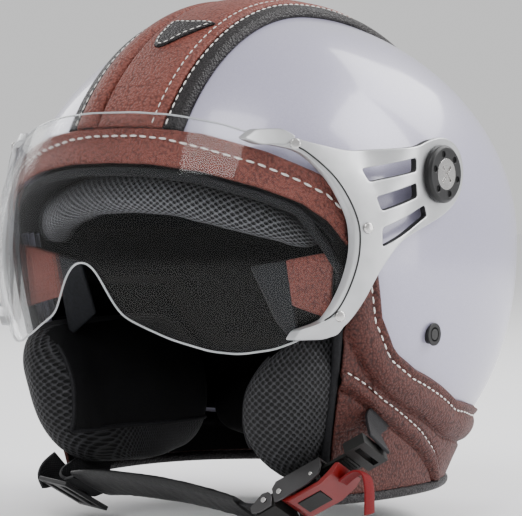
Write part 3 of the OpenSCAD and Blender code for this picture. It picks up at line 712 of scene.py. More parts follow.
pad_mesh = spacer_mesh("pad_mesh", (0.0045, 0.0045, 0.005), (0.032, 0.032, 0.035), 2.5)
brow_mesh = spacer_mesh("brow_mesh", (0.012, 0.012, 0.013), (0.13, 0.13, 0.14), 2.6)


def rounded(v):
    return math.copysign(abs(v) ** 0.75, v)


def stuffed_roll(lon0, lon1, mid, half, depth, thick, rings, sides):
    """A closed roll along the wall between two angles, with blunt ends; the tables run against the angle."""
    build = bmesh.new()
    bmesh.ops.create_grid(build, x_segments=sides, y_segments=rings, size=0.5)
    for v in build.verts:
        u, w = v.co.y + 0.5, (v.co.x + 0.5) * 2 * math.pi
        lon = mix(lon0, lon1, u)
        a = from_front(lon)
        s = max(0.0, 1 - abs(2 * u - 1) ** 6 * 0.93) ** 0.5
        v.co = on_wall(lon, look_up(a, mid) + look_up(a, half) * s * rounded(math.sin(w)),
                       look_up(a, depth) + look_up(a, thick) * s * rounded(math.cos(w)))
    bmesh.ops.remove_doubles(build, verts=build.verts, dist=0.01)
    bmesh.ops.holes_fill(build, edges=[e for e in build.edges if e.is_boundary], sides=0)
    bmesh.ops.triangulate(build, faces=[f for f in build.faces if len(f.verts) > 4])
    bmesh.ops.recalc_face_normals(build, faces=build.faces)
    return build


def swell(piece, voxel_mm, pressure, cap_mm, frames=20):
    """Remeshes a closed form, blows it up with cloth and keeps each point within the cap."""
    remesh = piece.modifiers.new("remesh", "REMESH")
    remesh.mode, remesh.voxel_size = "VOXEL", voxel_mm * 0.001
    graph = bpy.context.evaluated_depsgraph_get()
    mesh = bpy.data.meshes.new_from_object(piece.evaluated_get(graph))
    piece.modifiers.clear()
    piece.data = mesh
    start = [v.co.copy() for v in mesh.vertices]
    cloth = piece.modifiers.new("cloth", "CLOTH")
    cloth.settings.use_pressure = True
    cloth.settings.uniform_pressure_force = pressure
    cloth.settings.effector_weights.gravity = 0
    cloth.settings.quality = 5
    cloth.settings.tension_stiffness = cloth.settings.compression_stiffness = 12
    for f in range(1, frames + 1):
        scene.frame_set(f)
    graph = bpy.context.evaluated_depsgraph_get()
    blown = bpy.data.meshes.new_from_object(piece.evaluated_get(graph))
    piece.modifiers.clear()
    piece.data = blown
    for v, old in zip(blown.vertices, start):
        move = v.co - old
        if move.length > cap_mm * 0.001:
            v.co = old + move.normalized() * cap_mm * 0.001
    scene.frame_set(1)
    build = bmesh.new()
    build.from_mesh(piece.data)
    bmesh.ops.smooth_vert(build, verts=build.verts, factor=0.5, use_axis_x=True, use_axis_y=True,
                          use_axis_z=True)
    for f in build.faces:
        f.smooth = True
    build.to_mesh(piece.data)
    build.free()
    finer = piece.modifiers.new("finer", "SUBSURF")
    finer.levels = finer.render_levels = 1


def wrap_uv(piece, unroll):
    """UVs in metres from unroll(point in mm) -> (u, v) in mm, kept unbroken across each face."""
    mesh = piece.data
    uvs = mesh.uv_layers.new(name="UVMap") if not mesh.uv_layers else mesh.uv_layers[0]
    for f in mesh.polygons:
        spots = [unroll(mesh.vertices[mesh.loops[i].vertex_index].co * 1000) for i in f.loop_indices]
        lap = max(p[2] for p in spots)
        for i, p in zip(f.loop_indices, spots):
            u = p[0] + (lap if p[0] < spots[0][0] - lap / 2 else -lap if p[0] > spots[0][0] + lap / 2 else 0)
            uvs.data[i].uv = (u * 0.001, p[1] * 0.001)


brow_mid = [(0, 26), (15, 24.5), (30, 17.5), (42, 11), (54, 0)]
brow_pad = new_piece("brow_pad_mesh", stuffed_roll(-54, 54, brow_mid, [(0, 10.5), (54, 10)], [(0, -21)],
                                                   [(0, 10)],
                                                    60, 28), brow_mesh)
swell(brow_pad, 4, 3, 5)
wrap_uv(brow_pad, lambda p: (math.degrees(math.atan2(p.x, -p.y)) * 1.8, 12 * math.atan2(
    p.z - look_up(from_front(math.degrees(math.atan2(p.x, -p.y))), brow_mid),
    p.xy.length - wall_reach(math.degrees(math.atan2(p.x, -p.y)), p.z, -21)), 75.4))
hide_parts("brow_pad")

# ---------------------------------------------------------------- comfort lining
# The soft black crown lining inside the foam: brushed cloth quilted in long
# channels from brow to nape.
lining_cloth = brushed("lining_cloth", (0.0015, 0.0015, 0.002), (0.005, 0.005, 0.0065), 1400.0, 0.85, 0.15,
                       depth=0.0001, strength=0.2, top=0.75)


def lining_low(lon):
    a = from_front(lon)
    low = shell_low(lon) + 1 if a < 58 else mix(-13, -29, ease((a - 114) / 14)) + 14 * ease((64 - a) / 6)
    return max(low + 3, 2)


def lining_point(u, v):
    lon, lat = u * 360, mix(lining_low(u * 360), 90, v)
    x = on_shell(lon, lat, -35).x
    channel = abs(math.sin(math.pi * x / 34))
    return on_shell(lon, lat, -28.4 - 5.4 * channel ** 0.5 * math.sin(math.pi * min(1, v * 6 + 0.15) / 2) - 1)


lining = new_piece("crown_lining", laid_sheet(150, 50, lining_point, close=True), lining_cloth)
build = bmesh.new()
build.from_mesh(lining.data)
bmesh.ops.reverse_faces(build, faces=build.faces)
build.to_mesh(lining.data)
build.free()
thicken(lining, 1.5)
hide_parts("comfort_liner")

# ---------------------------------------------------------------- impact foam
# Moulded black foam beads behind the lining and inside each cheek pad.
bead_foam = blank("bead_foam")
beads = node_of(bead_foam, "ShaderNodeTexVoronoi", Vector=place_of(bead_foam), Scale=330.0)
finish(bead_foam, ramp(bead_foam, beads.outputs["Distance"], [(0.0, (0.012, 0.012, 0.013)),
                                                              (0.7, (0.004, 0.004, 0.0045))]),
       0.8, bump(bead_foam, beads.outputs["Distance"], -0.0004, 0.7), Specular_IOR_Level=0.2)
for node in ("impact_liner", "cheek_core_left", "cheek_core_right"):
    frame["nodes"][node].data.materials.clear()
    frame["nodes"][node].data.materials.append(bead_foam)

# ---------------------------------------------------------------- cheek pads
# Thick foam pads in the same spacer mesh, swollen out below the visor, with a
# corded seam round the face side and a plain cloth back.
pad_mid = [(40, -84), (55, -82), (75, -83), (118, -80)]
pad_half = [(40, 28.5), (55, 38.5), (75, 39.5), (100, 36.5), (118, 30.5)]
pad_depth = [(40, -22), (58, -23.5), (75, -31), (118, -32.4)]
pad_thick = [(40, 15), (58, 16.5), (75, 18), (118, 18)]
pad_axis = Vector((66, -22))


def pad_unroll(p, sign):
    """Round the pad's upright axis, then up it."""
    x, y = p.x * sign - pad_axis.x, p.y - pad_axis.y
    x, y = x * 0.78 + y * 0.62, (y * 0.78 - x * 0.62) * 0.6
    return (math.atan2(x, -y) * 56, p.z, 56 * 2 * math.pi)


def bulged(build):
    """Leans the front of the pad out of the face opening, without passing the outer wall."""
    for v in build.verts:
        a = math.degrees(math.atan2(abs(v.co.x), -v.co.y))
        lean = ease((86 - a) / 34) * (1 - 0.35 * abs((v.co.z + 84) / 42) ** 2)
        v.co.y -= 22 * lean
        v.co.x *= 1 + 0.06 * lean
    held(build)


def held(build, scale=1.0):
    """Keeps every point inside the outer wall behind the face opening's edge."""
    for v in build.verts:
        p = v.co * scale
        a = math.degrees(math.atan2(abs(p.x), -p.y))
        if a > 54.5:
            most = wall_reach(a, p.z, -4.5) + 9 * clamp01((58.5 - a) / 4)
            if p.xy.length > most:
                v.co.xy *= most / p.xy.length


def knitted(p):
    """Positive in mm on the mesh side of the pad's seam, which runs up the front and back along the foot."""
    return max(-80 - 5 * math.cos((p.z + 84) / 26) - p.y, -102 - p.z, abs(p.x) - 81)


def plain(name, colour, roughness, grain=900.0, depth=0.00006, **sockets):
    """Moulded or milled stock: one colour with a little mottling and a fine surface."""
    stock = blank(name)
    skin = node_of(stock, "ShaderNodeTexNoise", Vector=place_of(stock), Scale=grain, Detail=3.0)
    broad = node_of(stock, "ShaderNodeTexNoise", Vector=place_of(stock), Scale=60.0, Detail=2.0)
    dark, lit = tuple(c * 0.88 for c in colour), tuple(min(1, c * 1.08) for c in colour)
    shade = ramp(stock, broad.outputs["Fac"], [(0.3, dark), (0.7, lit)])
    rough = maths(stock, "MULTIPLY_ADD", skin.outputs["Fac"], 0.12, roughness - 0.06)
    return finish(stock, shade, rough, bump(stock, skin.outputs["Fac"], depth, 0.6), **sockets)


pad_back = plain("pad_back", (0.004, 0.004, 0.0045), 0.7, grain=1300.0, depth=0.0003, Specular_IOR_Level=0.15)
for name, sign in (("left", 1), ("right", -1)):
    build = stuffed_roll(sign * 40, sign * 116, pad_mid, pad_half, pad_depth, pad_thick, 64, 56)
    bulged(build)
    pad = new_piece("cheek_pad_mesh_" + name, build, pad_mesh)
    swell(pad, 4, 4, 6)
    build = bmesh.new()
    build.from_mesh(pad.data)
    held(build, 1000)
    bmesh.ops.smooth_vert(build, verts=build.verts, factor=0.4, use_axis_x=True, use_axis_y=True,
                          use_axis_z=True)
    pad.data.materials.append(pad_back)
    for f in build.faces:
        f.material_index = 0 if knitted(f.calc_center_median() * 1000) > 0 else 1
    build.to_mesh(pad.data)
    build.free()
    wrap_uv(pad, lambda p, sign=sign: pad_unroll(p, sign))
    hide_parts("cheek_pad_" + name)

    def seam_point(s, sign=sign, pad=pad):
        z = mix(-56, -101, min(1, s / 0.45))
        y = mix(-80 - 5 * math.cos((z + 84) / 26), 20, max(0, (s - 0.45) / 0.55))
        found, spot, _, _ = pad.ray_cast(Vector((0, y, z)) * 0.001, Vector((sign, 0, 0)))
        return spot * 1000 if found else Vector((sign * 70, y, z))
    corded("cheek_piping_" + name, seam_point, 1.3, 70, rim_cloth, sides=10)

# ---------------------------------------------------------------- neck roll
# The soft black roll round the nape, brushed cloth over foam.
neck_cloth = brushed("neck_cloth", (0.002, 0.002, 0.002), (0.007, 0.007, 0.008), 1100.0, 0.85, 0.2,
                     strength=0.5, top=0.75)
neck_roll = new_piece("neck_roll_cloth", stuffed_roll(124, 236, [(124, -99), (180, -97)],
                                                      [(124, 18.5), (180, 21.5)],
                                                       [(0, -20)], [(0, 12)], 56, 28), neck_cloth)
swell(neck_roll, 5, 3, 6)
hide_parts("neck_roll")

# ---------------------------------------------------------------- cheek flaps
# A brown leather tab at each end of the brow pad, with a slate cloth welt
# along its inner edge.
slate_cloth = brushed("slate_cloth", (0.004, 0.0045, 0.006), (0.009, 0.010, 0.013), 700.0, 0.7, 0.25)
flap_corners = [on_wall(54.6, -3, -2), on_wall(54.6, -36, -3), on_wall(45, -8, -20), on_wall(47, -30, -22)]
for name, sign in (("left", 1), ("right", -1)):
    def flap_point(u, v, sign=sign, near=0.0, far=1.0):
        k = mix(near, far, u)
        p = flap_corners[1].lerp(flap_corners[0], v).lerp(flap_corners[3].lerp(flap_corners[2], v), k)
        p = p + Vector((0.35, 0.94, 0)) * (-1.2 * math.sin(math.pi * clamp01(k)) ** 0.5)
        return Vector((p.x * sign, p.y, p.z))
    flap = new_piece("cheek_flap_leather_" + name, laid_sheet(
        24, 24, flap_point, inside=(0, 40, -20)), brown_leather)
    thicken(flap, 2.0)
    welt = new_piece("cheek_welt_" + name, laid_sheet(
        14, 30, lambda u, v: flap_point(u, mix(-1.0, 1.0, v), near=0.98, far=1.75), inside=(0, 40, -20)),
        slate_cloth)
    thicken(welt, 1.6)
    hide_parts("cheek_flap_" + name)

# ---------------------------------------------------------------- visor pivots
# On each side a black moulded boss stands through the shell, with a nylon
# washer behind the arm and a dished black cap held by a bright screw.
def softened(node, name, material, edge_mm, body=None, angle=25):
    """A copy of a CAD node, merged, with its edges rounded."""
    build = bmesh.new()
    build.from_mesh(frame["nodes"][node].data)
    bmesh.ops.remove_doubles(build, verts=build.verts, dist=2e-6)
    bmesh.ops.dissolve_limit(build, angle_limit=math.radians(0.8), verts=build.verts, edges=build.edges)
    bmesh.ops.scale(build, verts=build.verts, vec=(1000,) * 3)
    for f in build.faces:
        f.material_index = 0
    home = body or next(b for b, ns in frame["record"]["behaviour"]["bodies"].items() if node in ns)
    piece = new_piece(name, build, material, home)
    rounding = piece.modifiers.new("rounding", "BEVEL")
    rounding.width, rounding.segments = edge_mm * 0.001, 2
    rounding.limit_method, rounding.angle_limit = "ANGLE", math.radians(angle)
    rounding.harden_normals = False
    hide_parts(node)
    return piece




pivot_axis, socket_axis = (-0.017, 0.035), (-0.0115, -0.046)


def narrowed(piece, axis, scale):
    """Scales a turned piece about an axis that runs across the helmet through (y, z)."""
    for v in piece.data.vertices:
        v.co.yz = Vector(axis) + (v.co.yz - Vector(axis)) * scale


cap_black = plain("cap_black", (0.006, 0.006, 0.0065), 0.40, Specular_IOR_Level=0.35)
# Black moulded plastic of the bosses and stud wells, also used as painted shade on the arms' slot walls and
# in their groove.
boss_black = plain("boss_black", (0.007, 0.007, 0.007), 0.55)
nylon = plain("nylon", (0.62, 0.61, 0.57), 0.45)
chrome = plain("chrome", (0.58, 0.57, 0.56), 0.20, Metallic=1.0)
for name in ("left", "right"):
    cap = softened("pivot_cap_" + name, "pivot_cap_disc_" + name, cap_black, 0.45)
    narrowed(cap, pivot_axis, 0.88)
    frame["nodes"]["pivot_boss_" + name].data.materials.clear()
    frame["nodes"]["pivot_boss_" + name].data.materials.append(boss_black)
screws = softened("pivot_screws", "pivot_screw_heads", chrome, 0.25)
narrowed(screws, pivot_axis, 1.35)
softened("friction_washers", "nylon_washers", nylon, 0.15)

# ---------------------------------------------------------------- side sockets
# A black press-stud socket is moulded into each side of the shell, low behind
# the cheek.
for name in ("left", "right"):
    socket = softened("side_socket_" + name, "stud_socket_" + name, cap_black, 0.35)
    narrowed(socket, socket_axis, 0.86)
    build = bmesh.new()
    bmesh.ops.create_cone(build, cap_ends=True, segments=32, radius1=3.6, radius2=3.6, depth=0.4,
                          matrix=Matrix.Translation((122.0 if name == "left" else -122.0, -11.5, -46))
                          @ Matrix.Rotation(math.radians(90), 4, "Y"))
    well = new_piece("stud_well_" + name, build, boss_black)

# ---------------------------------------------------------------- visor lens
# One bubble of clear polycarbonate, 2.2 mm thick, with polished edges and a
# notch for the nose. It is riveted to the two arms.
lens_half, lens_reach, lens_wall = 130, 143, 2.2
lens_top = [(0, 66), (7, 66), (17, 64.5), (22, 62.8), (30, 59.5), (38, 54), (43, 51), (47, 47), (50, 41),
            (53, 33),
            (56, 20), (57.5, 4)]
lens_foot = [(0, -8.6), (2, -9.6), (3.2, -12), (4.4, -15.5), (6.5, -24.5), (8, -31), (9.5, -35),
             (12.7, -38.7), (19.7, -45.7), (28, -51.4), (34, -52.8),
             (41.5, -50.4), (47, -45.6), (50, -40), (53, -33), (56, -20), (57.5, -4)]


def smooth_edge(table, a):
    """The table's value, eased over a degree and a half so that the outline runs fair."""
    return sum(look_up(abs(a + d), table) for d in (-1.5, -0.7, 0, 0.7, 1.5)) / 5


def on_lens(lon, z, off):
    s = 1 - 0.000032 * (z + 5) ** 2
    si, co = abs(math.sin(math.radians(lon))), abs(math.cos(math.radians(lon)))
    r = ((si / (lens_half * s + off)) ** 2.3 + (co / (lens_reach * s + off)) ** 2.3) ** (-1 / 2.3)
    return Vector((r * math.sin(math.radians(lon)), -r * math.cos(math.radians(lon)), z))


def lens_point(u, v):
    w = 2 * u - 1
    lon = math.copysign(57.5 * (0.7 * abs(w) + 0.3 * (1 - (1 - abs(w)) ** 2)), w)
    a = abs(lon)
    return on_lens(lon, mix(smooth_edge(lens_foot, a), smooth_edge(lens_top, a), v), 0)


clear_sheet = blank("clear_sheet")
smear = node_of(clear_sheet, "ShaderNodeTexNoise", Vector=place_of(clear_sheet), Scale=14.0, Detail=2.0)
finish(clear_sheet, (0.90, 0.925, 0.94, 1), maths(clear_sheet, "MULTIPLY_ADD", smear.outputs["Fac"], 0.02,
                                                  0.0),
       Transmission_Weight=1.0, IOR=1.02, Alpha=0.42, Coat_Weight=0.6, Coat_Roughness=0.02, Coat_IOR=1.45)
lens = new_piece("visor_bubble", laid_sheet(170, 72, lens_point), clear_sheet, "visor")
thicken(lens, lens_wall, round_mm=0.5)
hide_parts("visor_lens")
# Painted reflection: the grey on the lens edge stands in for the light and shade seen in the clear edge,
# which has no grey of its own.
edge_reflection_paint = blank("polished_edge")
edge_tone = node_of(edge_reflection_paint, "ShaderNodeTexNoise", Vector=place_of(edge_reflection_paint), Scale=40.0)
finish(edge_reflection_paint, ramp(edge_reflection_paint, edge_tone.outputs["Fac"], [(0.3, (0.55, 0.57, 0.59)),
                                                           (0.7, (0.70, 0.72, 0.73))]), 0.12,
       Transmission_Weight=0.3, Alpha=0.85)


def lens_outline(s):
    """Round the lens at half its thickness: along the foot, then back over the top."""
    lon = mix(-57.4, 57.4, 1 - abs(2 * s - 1))
    table, inset = (lens_foot, 0.2) if s < 0.5 else (lens_top, -0.2)
    return on_lens(lon, smooth_edge(table, abs(lon)) + inset, -lens_wall / 2)


corded("visor_edge", lens_outline, lens_wall * 0.24, 320, edge_reflection_paint, sides=8, body="visor")

# ---------------------------------------------------------------- visor arms
# Two silver moulded arms, 4 mm thick, that follow the lens and then lie flat
# beside the shell, with three long slots each.
arm_wall, arm_inner = 4, 124.6
arm_outline = [(-107, 53.4), (-101.5, 55.8), (-96, 56.3), (-88.9, 51.5), (-70.4, 46.2),
               (-36.4, 48.5), (-26, 52), (-14, 53.8), (-4, 51.5), (3, 45.5), (5.5, 36), (3, 26),
               (-5, 18.5), (-15, 13.5), (-49.4, 2.6), (-57, -4), (-64.4, -14.2), (-71, -29),
               (-76.3, -38.4), (-81, -42.5), (-95, -44.3), (-95.5, -40), (-89, -38), (-85, -30.8),
               (-80.2, -16.3), (-77.2, -1.8), (-77, 12.7), (-82.5, 32.1), (-91, 46.6), (-104, 50)]
arm_slots = [[(-66, 37.4), (-37, 43), (-37, 36.4), (-64, 31.1)],
             [(-62, 23.8), (-37, 30.6), (-36.5, 23.6), (-60.5, 16.9)],
             [(-61.2, 8.6), (-30, 19.6), (-28, 14.2), (-62, -0.6)]]


def lens_x(y, z):
    s = 1 - 0.000032 * (z + 5) ** 2
    return lens_half * s * max(0.02, 1 - (abs(y) / (lens_reach * s)) ** 2.3) ** (1 / 2.3)


def arm_x(y, z):
    return mix(lens_x(y, z) + 0.3, arm_inner, ease((y + 64) / 30))


def eased_ring(points, cut):
    """The outline with each corner cut back and rounded by a three-point arc."""
    ring = []
    n = len(points)
    for k in range(n):
        p, a, b = Vector(points[k]), Vector(points[k - 1]), Vector(points[(k + 1) % n])
        ca, cb = min(cut, (a - p).length * 0.42), min(cut, (b - p).length * 0.42)
        s, e = p + (a - p).normalized() * ca, p + (b - p).normalized() * cb
        ring += [((1 - t) ** 2 * s + 2 * t * (1 - t) * p + t * t * e) for t in (0, 0.2, 0.4, 0.6, 0.8, 1)]
    return ring


def flat_cut(name, rings, thick, edge_mm):
    """A flat plate cut from an outline with holes, its rims rounded, in mm in the plane of y and z."""
    curve = bpy.data.curves.new(name + "_outline", "CURVE")
    curve.dimensions, curve.fill_mode = "2D", "BOTH"
    curve.extrude, curve.bevel_depth = thick / 2 - edge_mm, edge_mm
    curve.bevel_resolution, curve.offset = 3, -edge_mm
    for ring in rings:
        line = curve.splines.new("POLY")
        line.points.add(len(ring) - 1)
        for point, p in zip(line.points, ring):
            point.co = (p[0], p[1], 0, 1)
        line.use_cyclic_u = True
    shape = bpy.data.objects.new(name + "_outline", curve)
    scene.collection.objects.link(shape)
    mesh = bpy.data.meshes.new_from_object(shape.evaluated_get(bpy.context.evaluated_depsgraph_get()))
    bpy.data.objects.remove(shape)
    build = bmesh.new()
    build.from_mesh(mesh)
    bpy.data.meshes.remove(mesh)
    bmesh.ops.remove_doubles(build, verts=build.verts, dist=0.002)
    return build


silver = plain("silver", (0.50, 0.505, 0.515), 0.36, grain=2200.0, depth=0.0001, Metallic=0.8)


def fair(points, s):
    """Point on the smooth line through the points, s from 0 to 1."""
    n = len(points) - 1
    k = min(n - 1, int(s * n))
    f = s * n - k
    p = [Vector(points[min(n, max(0, k + j))]) for j in (-1, 0, 1, 2)]
    return 0.5 * (2 * p[1] + (p[2] - p[0]) * f + (2 * p[0] - 5 * p[1] + 4 * p[2] - p[3]) * f * f
                  + (3 * p[1] - p[0] - 3 * p[2] + p[3]) * f ** 3)


def arm_part(name, rings, thick, sign):
    """A plate cut flat, sliced across both ways and laid along the arm's curve. Its slot walls are drawn
    black as painted shade.
    """
    build = flat_cut(name, rings, thick, 0.7)
    slices = [((cut, 0, 0), (1, 0, 0)) for cut in range(-108, 6, 3)]
    slices += [((0, cut, 0), (0, 1, 0)) for cut in range(-46, 58, 4)]
    for place, facing in slices:
        bmesh.ops.bisect_plane(build, geom=build.verts[:] + build.edges[:] + build.faces[:],
                               plane_co=place, plane_no=facing)
    for v in build.verts:
        y, z, h = v.co
        v.co = (sign * (arm_x(y, z) + arm_wall / 2 + h), y, z)
    bmesh.ops.recalc_face_normals(build, faces=build.faces)
    for f in build.faces:
        y, z = f.calc_center_median().yz
        # Painted shade: the slot walls take the black plastic instead of the arm's silver.
        slot_shade_zone = -68 < y < -24 and y * 0.36 + 20 < z < y * 0.32 + 62
        f.material_index = int(slot_shade_zone and abs(f.normal.x) < 0.35)
    part = new_piece(name, build, silver, "visor")
    part.data.materials.append(boss_black)
    return part


front_clip = [(-108, 52.4), (-102.5, 57.0), (-94, 57.2), (-90, 53.4), (-95.5, 49.4), (-104.5, 49.2)]
foot_clip = [(-98, -45.6), (-97, -40.6), (-90, -37.6), (-83.5, -33.5), (-77, -36.4), (-80, -43.2),
             (-86, -45.4)]
groove_line = [(-87.5, -36), (-82.4, -30.2), (-77.6, -16.0), (-74.6, -1.8), (-74.4, 13), (-79.8, 31.4),
               (-88.5, 45.2), (-93, 49)]
for name, sign in (("left", 1), ("right", -1)):
    rings = [eased_ring(arm_outline, 6)] + [eased_ring(slot, 1.6) for slot in arm_slots]
    arm = arm_part("visor_arm_plate_" + name, rings, arm_wall, sign)
    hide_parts("visor_arm_" + name)
    arm_part("arm_front_clip_" + name, [eased_ring(front_clip, 1.5)], 5.6, sign)
    arm_part("arm_foot_clip_" + name, [eased_ring(foot_clip, 1.5)], 6.0, sign)

    def groove_point(s, sign=sign):
        y, z = fair([Vector((*q, 0)) for q in groove_line], s).xy
        return Vector((sign * (arm_x(y, z) + arm_wall + 0.05), y, z))
    # Painted shade: a thin black cord along the arm stands in for the shade in its moulded groove.
    corded("arm_groove_" + name, groove_point, 0.45, 90, boss_black, sides=8, body="visor")
    softened("arm_rivets_" + name, "lens_rivets_" + name, chrome, 0.5)

# ---------------------------------------------------------------- strap anchors
# Two steel plates riveted to the shell behind the cheek pads hold the webbing.
anchor_steel = plain("anchor_steel", (0.45, 0.45, 0.46), 0.32, Metallic=1.0)
softened("strap_anchors", "anchor_plates", anchor_steel, 0.3)
softened("anchor_rivets", "anchor_rivet_heads", chrome, 0.3)

# ---------------------------------------------------------------- chin strap
# Black nylon webbing, 22 mm wide. The right half runs from its anchor to a
# three-bar slider with a loose tail, and the left half joins the tongue.
web_wide = 22


def mirrored(p):
    return Vector((-p[0], p[1], p[2]))


webbing = blank("webbing")
web_place = place_of(webbing, "UV")
web_axes = node_of(webbing, "ShaderNodeSeparateXYZ", Vector=web_place)
ribs = maths(webbing, "SINE", maths(webbing, "MULTIPLY", web_axes.outputs["Y"], 2 * math.pi / 0.0014))
cords = maths(webbing, "SINE", maths(webbing, "MULTIPLY", web_axes.outputs["X"], 2 * math.pi / 0.0020))
weave = maths(webbing, "MULTIPLY_ADD", maths(webbing, "MULTIPLY", ribs, cords), 0.5, 0.5)
fuzz = node_of(webbing, "ShaderNodeTexNoise", Vector=web_place, Scale=900.0, Detail=2.0)
web_tone = maths(webbing, "MULTIPLY_ADD", fuzz.outputs["Fac"], 0.3, maths(webbing, "MULTIPLY", weave, 0.7))
finish(webbing, ramp(webbing, web_tone, [(0.1, (0.002, 0.002, 0.0025)), (0.8, (0.014, 0.014, 0.016))]), 0.6,
       bump(webbing, web_tone, 0.0004, 0.8), Specular_IOR_Level=0.3)


def strap(name, points, across, wide, thick, material, body="helmet", cols=16, rows=60, swell_mm=0.0):
    """A flat band of webbing through the points, with its edges a little thinner than its middle."""
    def spot(u, v):
        p = fair(points, v)
        way = (fair(points, min(1, v + 0.01)) - fair(points, max(0, v - 0.01))).normalized()
        side = fair(across, v)
        up = way.cross(side).normalized()
        side = up.cross(way).normalized()
        w = 2 * u - 1
        return p + side * (w * wide / 2) + up * swell_mm * (1 - w * w)
    band = new_piece(name, laid_sheet(cols, rows, spot, inside=(0, 0, 1000)), material, body)
    solid = band.modifiers.new("thickness", "SOLIDIFY")
    solid.thickness, solid.offset = thick * 0.001, 0
    rounding = band.modifiers.new("rounding", "BEVEL")
    rounding.width, rounding.segments, rounding.limit_method = min(0.45, thick * 0.3) * 0.001, 2, "ANGLE"
    rounding.angle_limit = math.radians(50)
    return band


web_across = (-0.06, -0.865, 0.5)
wall_turns = [(99, -79, -10.5), (91, -87, -8), (80, -97, -6), (69, -108, -5.6), (64, -118, -7.7),
              (60, -126, -7.5)]
under_chin = [(-81, -60, -132.5), (-75, -62, -134), (-66, -64, -131.5)]
right_points = [mirrored(on_wall(*q)) for q in wall_turns] + [Vector(p) for p in under_chin]
right_across = [Vector((math.cos(math.radians(q[0])), -math.sin(math.radians(q[0])),
                        0)) for q in wall_turns[:4]] + [
    Vector((-0.4, -0.9, 0)).lerp(Vector(web_across), k) for k in (0, 0.5, 1, 1, 1)]
strap_right = strap("webbing_right", right_points, right_across, web_wide, 1.6, webbing, rows=110)
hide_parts("strap_right")
tail_points = [(-95.8, -60.3, -135.9), (-97.3, -60, -131.6), (-96.5, -57.5, -127.5), (-93.5, -54, -123.5)]
strap_tail = strap("webbing_tail", tail_points, [web_across] * 4, web_wide, 1.4, webbing, rows=24)
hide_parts("strap_tail")
left_points = [on_wall(99, -79, -10.5), on_wall(88, -82.5, -7.6), on_wall(79, -85, -5), on_wall(72, -87, 0.8),
               on_wall(67, -90, 8), Vector((121.8, -59.4, -97.6))]
left_across = [Vector(p) for p in ((0, 0.3, -1), (0, 0.4, -0.9), (0.05, 0.5, -0.87), (0.05, 0.55, -0.85),
                                   (0.06, 0.7, -0.7),
                                   (0.06, 0.865, -0.497))]
strap_left = strap("webbing_left", left_points, left_across, 15, 1.6, webbing, rows=70)
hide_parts("strap_left")
front_points = [(52.2, -73.2, -134.4), (58, -74.4, -134.6), (64.4, -74.9, -134)]
strap_front = strap("webbing_front", front_points, [(-0.061, -0.865, 0.497)] * 3, 18, 1.6, webbing, rows=20)
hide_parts("strap_front")
slider_black = plain("slider_black", (0.004, 0.004, 0.0045), 0.42, Specular_IOR_Level=0.4)
softened("strap_slider", "slider_bars", slider_black, 0.5)

# ---------------------------------------------------------------- chin sleeve
# A soft black sleeve round the webbing under the chin, folded over and sewn
# shut along its outer edge, a little puckered.
sleeve_cloth = plain("sleeve_cloth", (0.005, 0.005, 0.0055), 0.46, grain=520.0, depth=0.0005,
                     Specular_IOR_Level=0.45)
sleeve_points = [Vector(p) for p in ((-65, -64.3, -131), (-45, -68, -128.6), (-20, -71, -128.2),
                                     (5, -71.5, -129),
                                     (30, -72, -131.5), (50.5, -73, -134.2))]
build = bmesh.new()
bmesh.ops.create_grid(build, x_segments=40, y_segments=110, size=0.5)
for v in build.verts:
    a, s = (v.co.x + 0.5) * 2 * math.pi, v.co.y + 0.5
    way = (fair(sleeve_points, min(1, s + 0.01)) - fair(sleeve_points, max(0, s - 0.01))).normalized()
    up = way.cross(Vector(web_across)).normalized()
    side = up.cross(way).normalized()
    pinch = 1 - 0.35 * abs(2 * s - 1) ** 8
    pucker = 0.35 * noise.noise(Vector((s * 26, math.cos(a) * 1.5, math.sin(a) * 1.5)))
    flat, full = 14.6 * rounded(math.cos(a)), (2.9 * pinch + pucker) * rounded(math.sin(a))
    v.co = fair(sleeve_points, s) + side * flat + up * full
bmesh.ops.remove_doubles(build, verts=build.verts, dist=0.01)
bmesh.ops.holes_fill(build, edges=[e for e in build.edges if e.is_boundary], sides=0)
bmesh.ops.recalc_face_normals(build, faces=build.faces)
sleeve = new_piece("chin_sleeve_cloth", build, sleeve_cloth)
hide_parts("chin_sleeve")

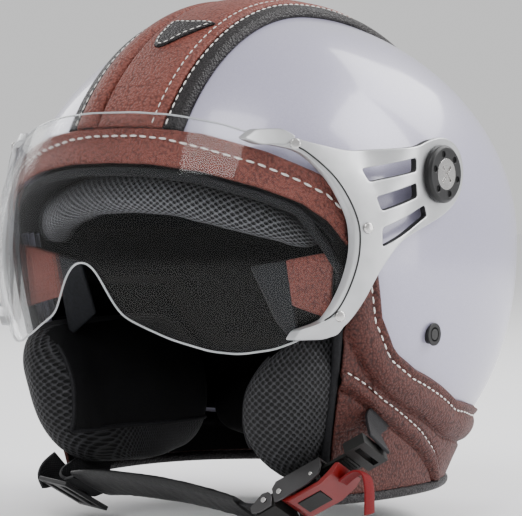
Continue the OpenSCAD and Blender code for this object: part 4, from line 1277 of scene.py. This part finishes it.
# ---------------------------------------------------------------- ratchet buckle
# A pressed steel cage on three pins, a black base riveted to the webbing, a
# sprung pawl, and a red lever with a black grip and a red pull ribbon.
cage_steel = plain("cage_steel", (0.085, 0.083, 0.085), 0.34, grain=700.0, Metallic=0.85)
grip_black = plain("grip_black", (0.0045, 0.0045, 0.004), 0.5, Specular_IOR_Level=0.35)
lever_red = plain("lever_red", (0.15, 0.0025, 0.0025), 0.36, Coat_Weight=0.15)
softened("buckle_frame", "buckle_cage", cage_steel, 0.25)
softened("buckle_base", "buckle_root", grip_black, 0.5)
softened("buckle_pins", "buckle_pin_rods", chrome, 0.2)
softened("strap_clamp", "clamp_plates", cage_steel, 0.2)
softened("buckle_pawl", "pawl_plate", cage_steel, 0.15)
softened("lever_spring", "spring_coil", chrome, 0.1)
softened("buckle_lever", "lever_red_plate", lever_red, 0.6)
softened("lever_insert", "lever_grip", grip_black, 0.35)
softened("ratchet_tongue", "ribbed_tongue", grip_black, 0.3)
joints = frame["record"]["behaviour"]["joints"]
buckle_at = Vector(next(j["pos_m"] for j in joints if j["name"] == "lever_hinge")) * 1000
buckle_turn = [math.radians(v) for v in (-35, -29.9, 15.2)]
buckle_pose = Matrix.Translation(buckle_at) @ Matrix.Rotation(buckle_turn[2], 4, "Z") @ Matrix.Rotation(
    buckle_turn[1], 4, "Y") @ Matrix.Rotation(buckle_turn[0], 4, "X")
red_weave = blank("red_weave")
red_place = place_of(red_weave, "UV")
red_axes = node_of(red_weave, "ShaderNodeSeparateXYZ", Vector=red_place)
red_ribs = maths(red_weave, "SINE", maths(red_weave, "MULTIPLY", red_axes.outputs["X"], 2 * math.pi / 0.0011))
red_fuzz = node_of(red_weave, "ShaderNodeTexNoise", Vector=red_place, Scale=1500.0, Detail=2.0)
red_tone = maths(red_weave, "MULTIPLY_ADD", red_fuzz.outputs["Fac"], 0.6,
                 maths(red_weave, "MULTIPLY", red_ribs, 0.06))
finish(red_weave, ramp(red_weave, red_tone, [(0.1, (0.06, 0.0008, 0.0015)), (0.6, (0.22, 0.002, 0.005))]),
       0.65,
       bump(red_weave, red_tone, 0.0003, 0.6), Specular_IOR_Level=0.2)
ribbon_points = [buckle_pose @ Vector(p) for p in ((29.5, -1, -5.9), (35, -1, -4.6), (39.5, -0.5, -4.8),
                                                   (42, 1, -8),
                                                   (40.5, 4, -13), (37.5, 7, -18), (34.5, 10, -22))]
ribbon_side = buckle_pose.to_3x3() @ Vector((0, 1, 0.3))
ribbon = strap("pull_ribbon_weave", ribbon_points, [ribbon_side] * 7, 9, 1.0, red_weave, "lever", rows=50,
               swell_mm=0.5)
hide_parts("pull_ribbon")
